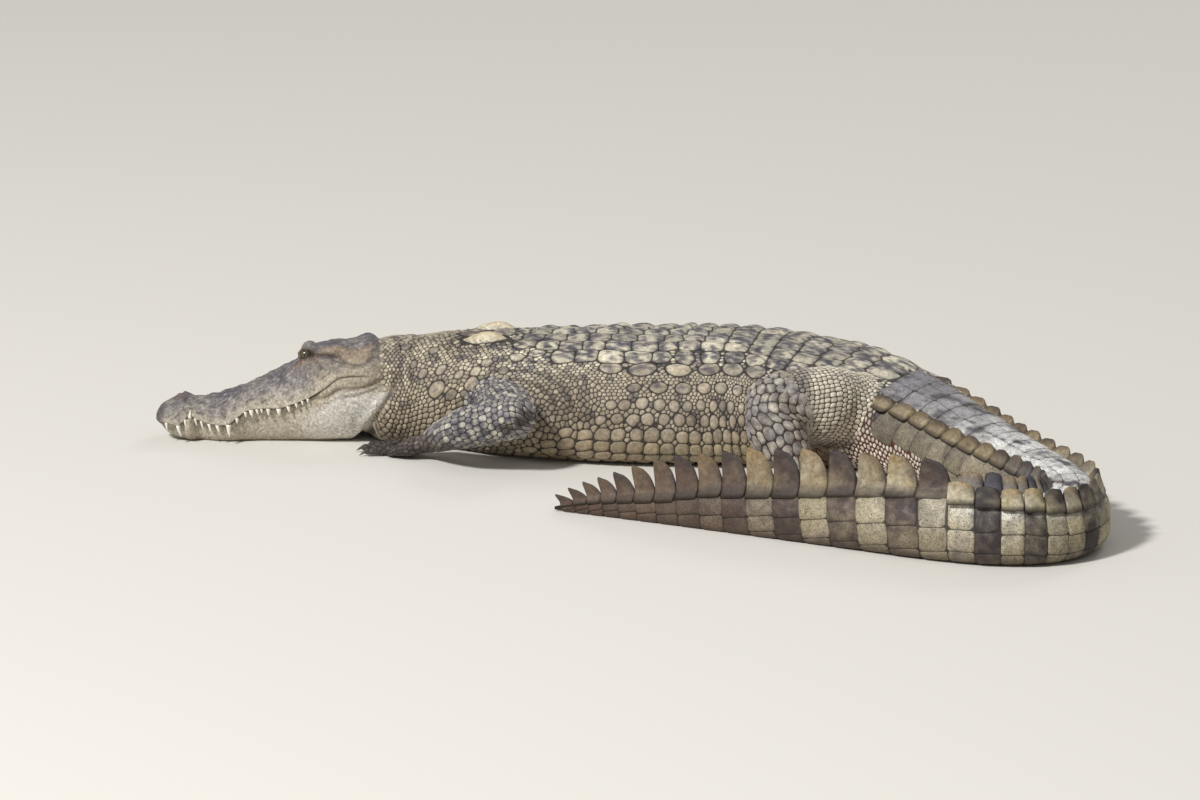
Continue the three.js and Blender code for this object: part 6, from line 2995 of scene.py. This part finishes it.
@dataclass(frozen=True)
class Lamp:
    """A square soft light: where it stands, its side and the light it gives at its aim."""

    name: str
    place: tuple[float, float, float]
    side: float
    level: float

    def build(self, aim: Vector) -> None:
        """Makes the lamp; its power is level * pi * distance^2 * pi, which a card facing it
        sends back at `level` of its own colour.

        Args:
            aim: the point it faces.
        """
        light = bpy.data.lights.new(self.name, "AREA")
        light.shape = "SQUARE"
        light.size = self.side
        toward = aim - Vector(self.place)
        light.energy = self.level * math.pi * math.pi * toward.length**2
        lamp = bpy.data.objects.new(self.name, light)
        lamp.location = self.place
        lamp.rotation_euler = toward.to_track_quat("-Z", "Y").to_euler()
        bpy.context.scene.collection.objects.link(lamp)


@dataclass(frozen=True)
class Studio:
    """Floor, soft light and camera."""

    aim: tuple[float, float, float] = (-0.0334, 0.2731, 0.0651)
    elevation: float = 14.0
    distance: float = 14.0
    lens: float = 237.7
    floor_colour: str = "#DEDAD2"
    fill: float = 0.34
    lamps: tuple[Lamp, ...] = (Lamp("key", (-6.2, -6.8, 9.0), 1.5, 0.95),
        Lamp("rim", (4.6, 7.2, 6.6), 3.2, 0.12))

    def build(self) -> None:
        """Sets up the studio."""
        scene = bpy.context.scene
        scene.view_settings.view_transform = "Standard"
        aim = Vector(self.aim)
        for lamp in self.lamps:
            lamp.build(aim)
        self.floor()
        self.world(scene)
        self.camera(scene, aim)

    def floor(self) -> None:
        """A large plain floor of matt paint, which shows soft shadows."""
        corners = np.array([[-3, -3, 0], [3, -3, 0], [3, 3, 0], [-3, 3, 0]]) * 10000.0
        floor = make_object("floor", corners, [np.array([[0, 1, 2, 3]])])
        material, tree = new_material("matt_floor_paint")
        shader = add_node(tree, "ShaderNodeBsdfPrincipled",
            {"Base Color": (*hex_colour(self.floor_colour), 1), "Roughness": 0.9})
        add_node(tree, "ShaderNodeOutputMaterial", {}, {"Surface": shader.outputs[0]})
        floor.data.materials.append(material)

    def world(self, scene: bpy.types.Scene) -> None:
        """An even pale surround that fills the shadows; the camera sees it near white.

        Args:
            scene: the scene.
        """
        world = bpy.data.worlds.new("surround")
        world.use_nodes = True
        tree = world.node_tree
        tree.nodes.clear()
        path = add_node(tree, "ShaderNodeLightPath")
        light = add_node(tree, "ShaderNodeBackground",
            {"Color": (1, 1, 1, 1), "Strength": self.fill})
        seen = add_node(tree, "ShaderNodeBackground",
            {"Color": (0.93, 0.92, 0.9, 1), "Strength": 1.0})
        both = add_node(tree, "ShaderNodeMixShader", {},
            {0: path.outputs["Is Camera Ray"], 1: light.outputs[0], 2: seen.outputs[0]})
        add_node(tree, "ShaderNodeOutputWorld", {}, {"Surface": both.outputs[0]})
        scene.world = world

    def camera(self, scene: bpy.types.Scene, aim: Vector) -> None:
        """The camera, far off and low, looking down at the elevation's angle.

        Args:
            scene: the scene.
            aim: the point it faces.
        """
        angle = math.radians(self.elevation)
        ahead = Vector((0, math.cos(angle), -math.sin(angle)))
        data = bpy.data.cameras.new("camera")
        data.lens = self.lens
        data.sensor_width = 36.0
        camera = bpy.data.objects.new("camera", data)
        camera.location = aim - self.distance * ahead
        camera.rotation_euler = ahead.to_track_quat("-Z", "Y").to_euler()
        scene.collection.objects.link(camera)
        scene.camera = camera


def main() -> None:
    """Builds the animal round the frame, then the studio, and notes the sizes."""
    logging.basicConfig(level=logging.INFO, format="%(name)s: %(message)s")
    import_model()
    Crocodile().build()
    Studio().build()
    bpy.context.view_layer.update()


if __name__ == "__main__":
    main()
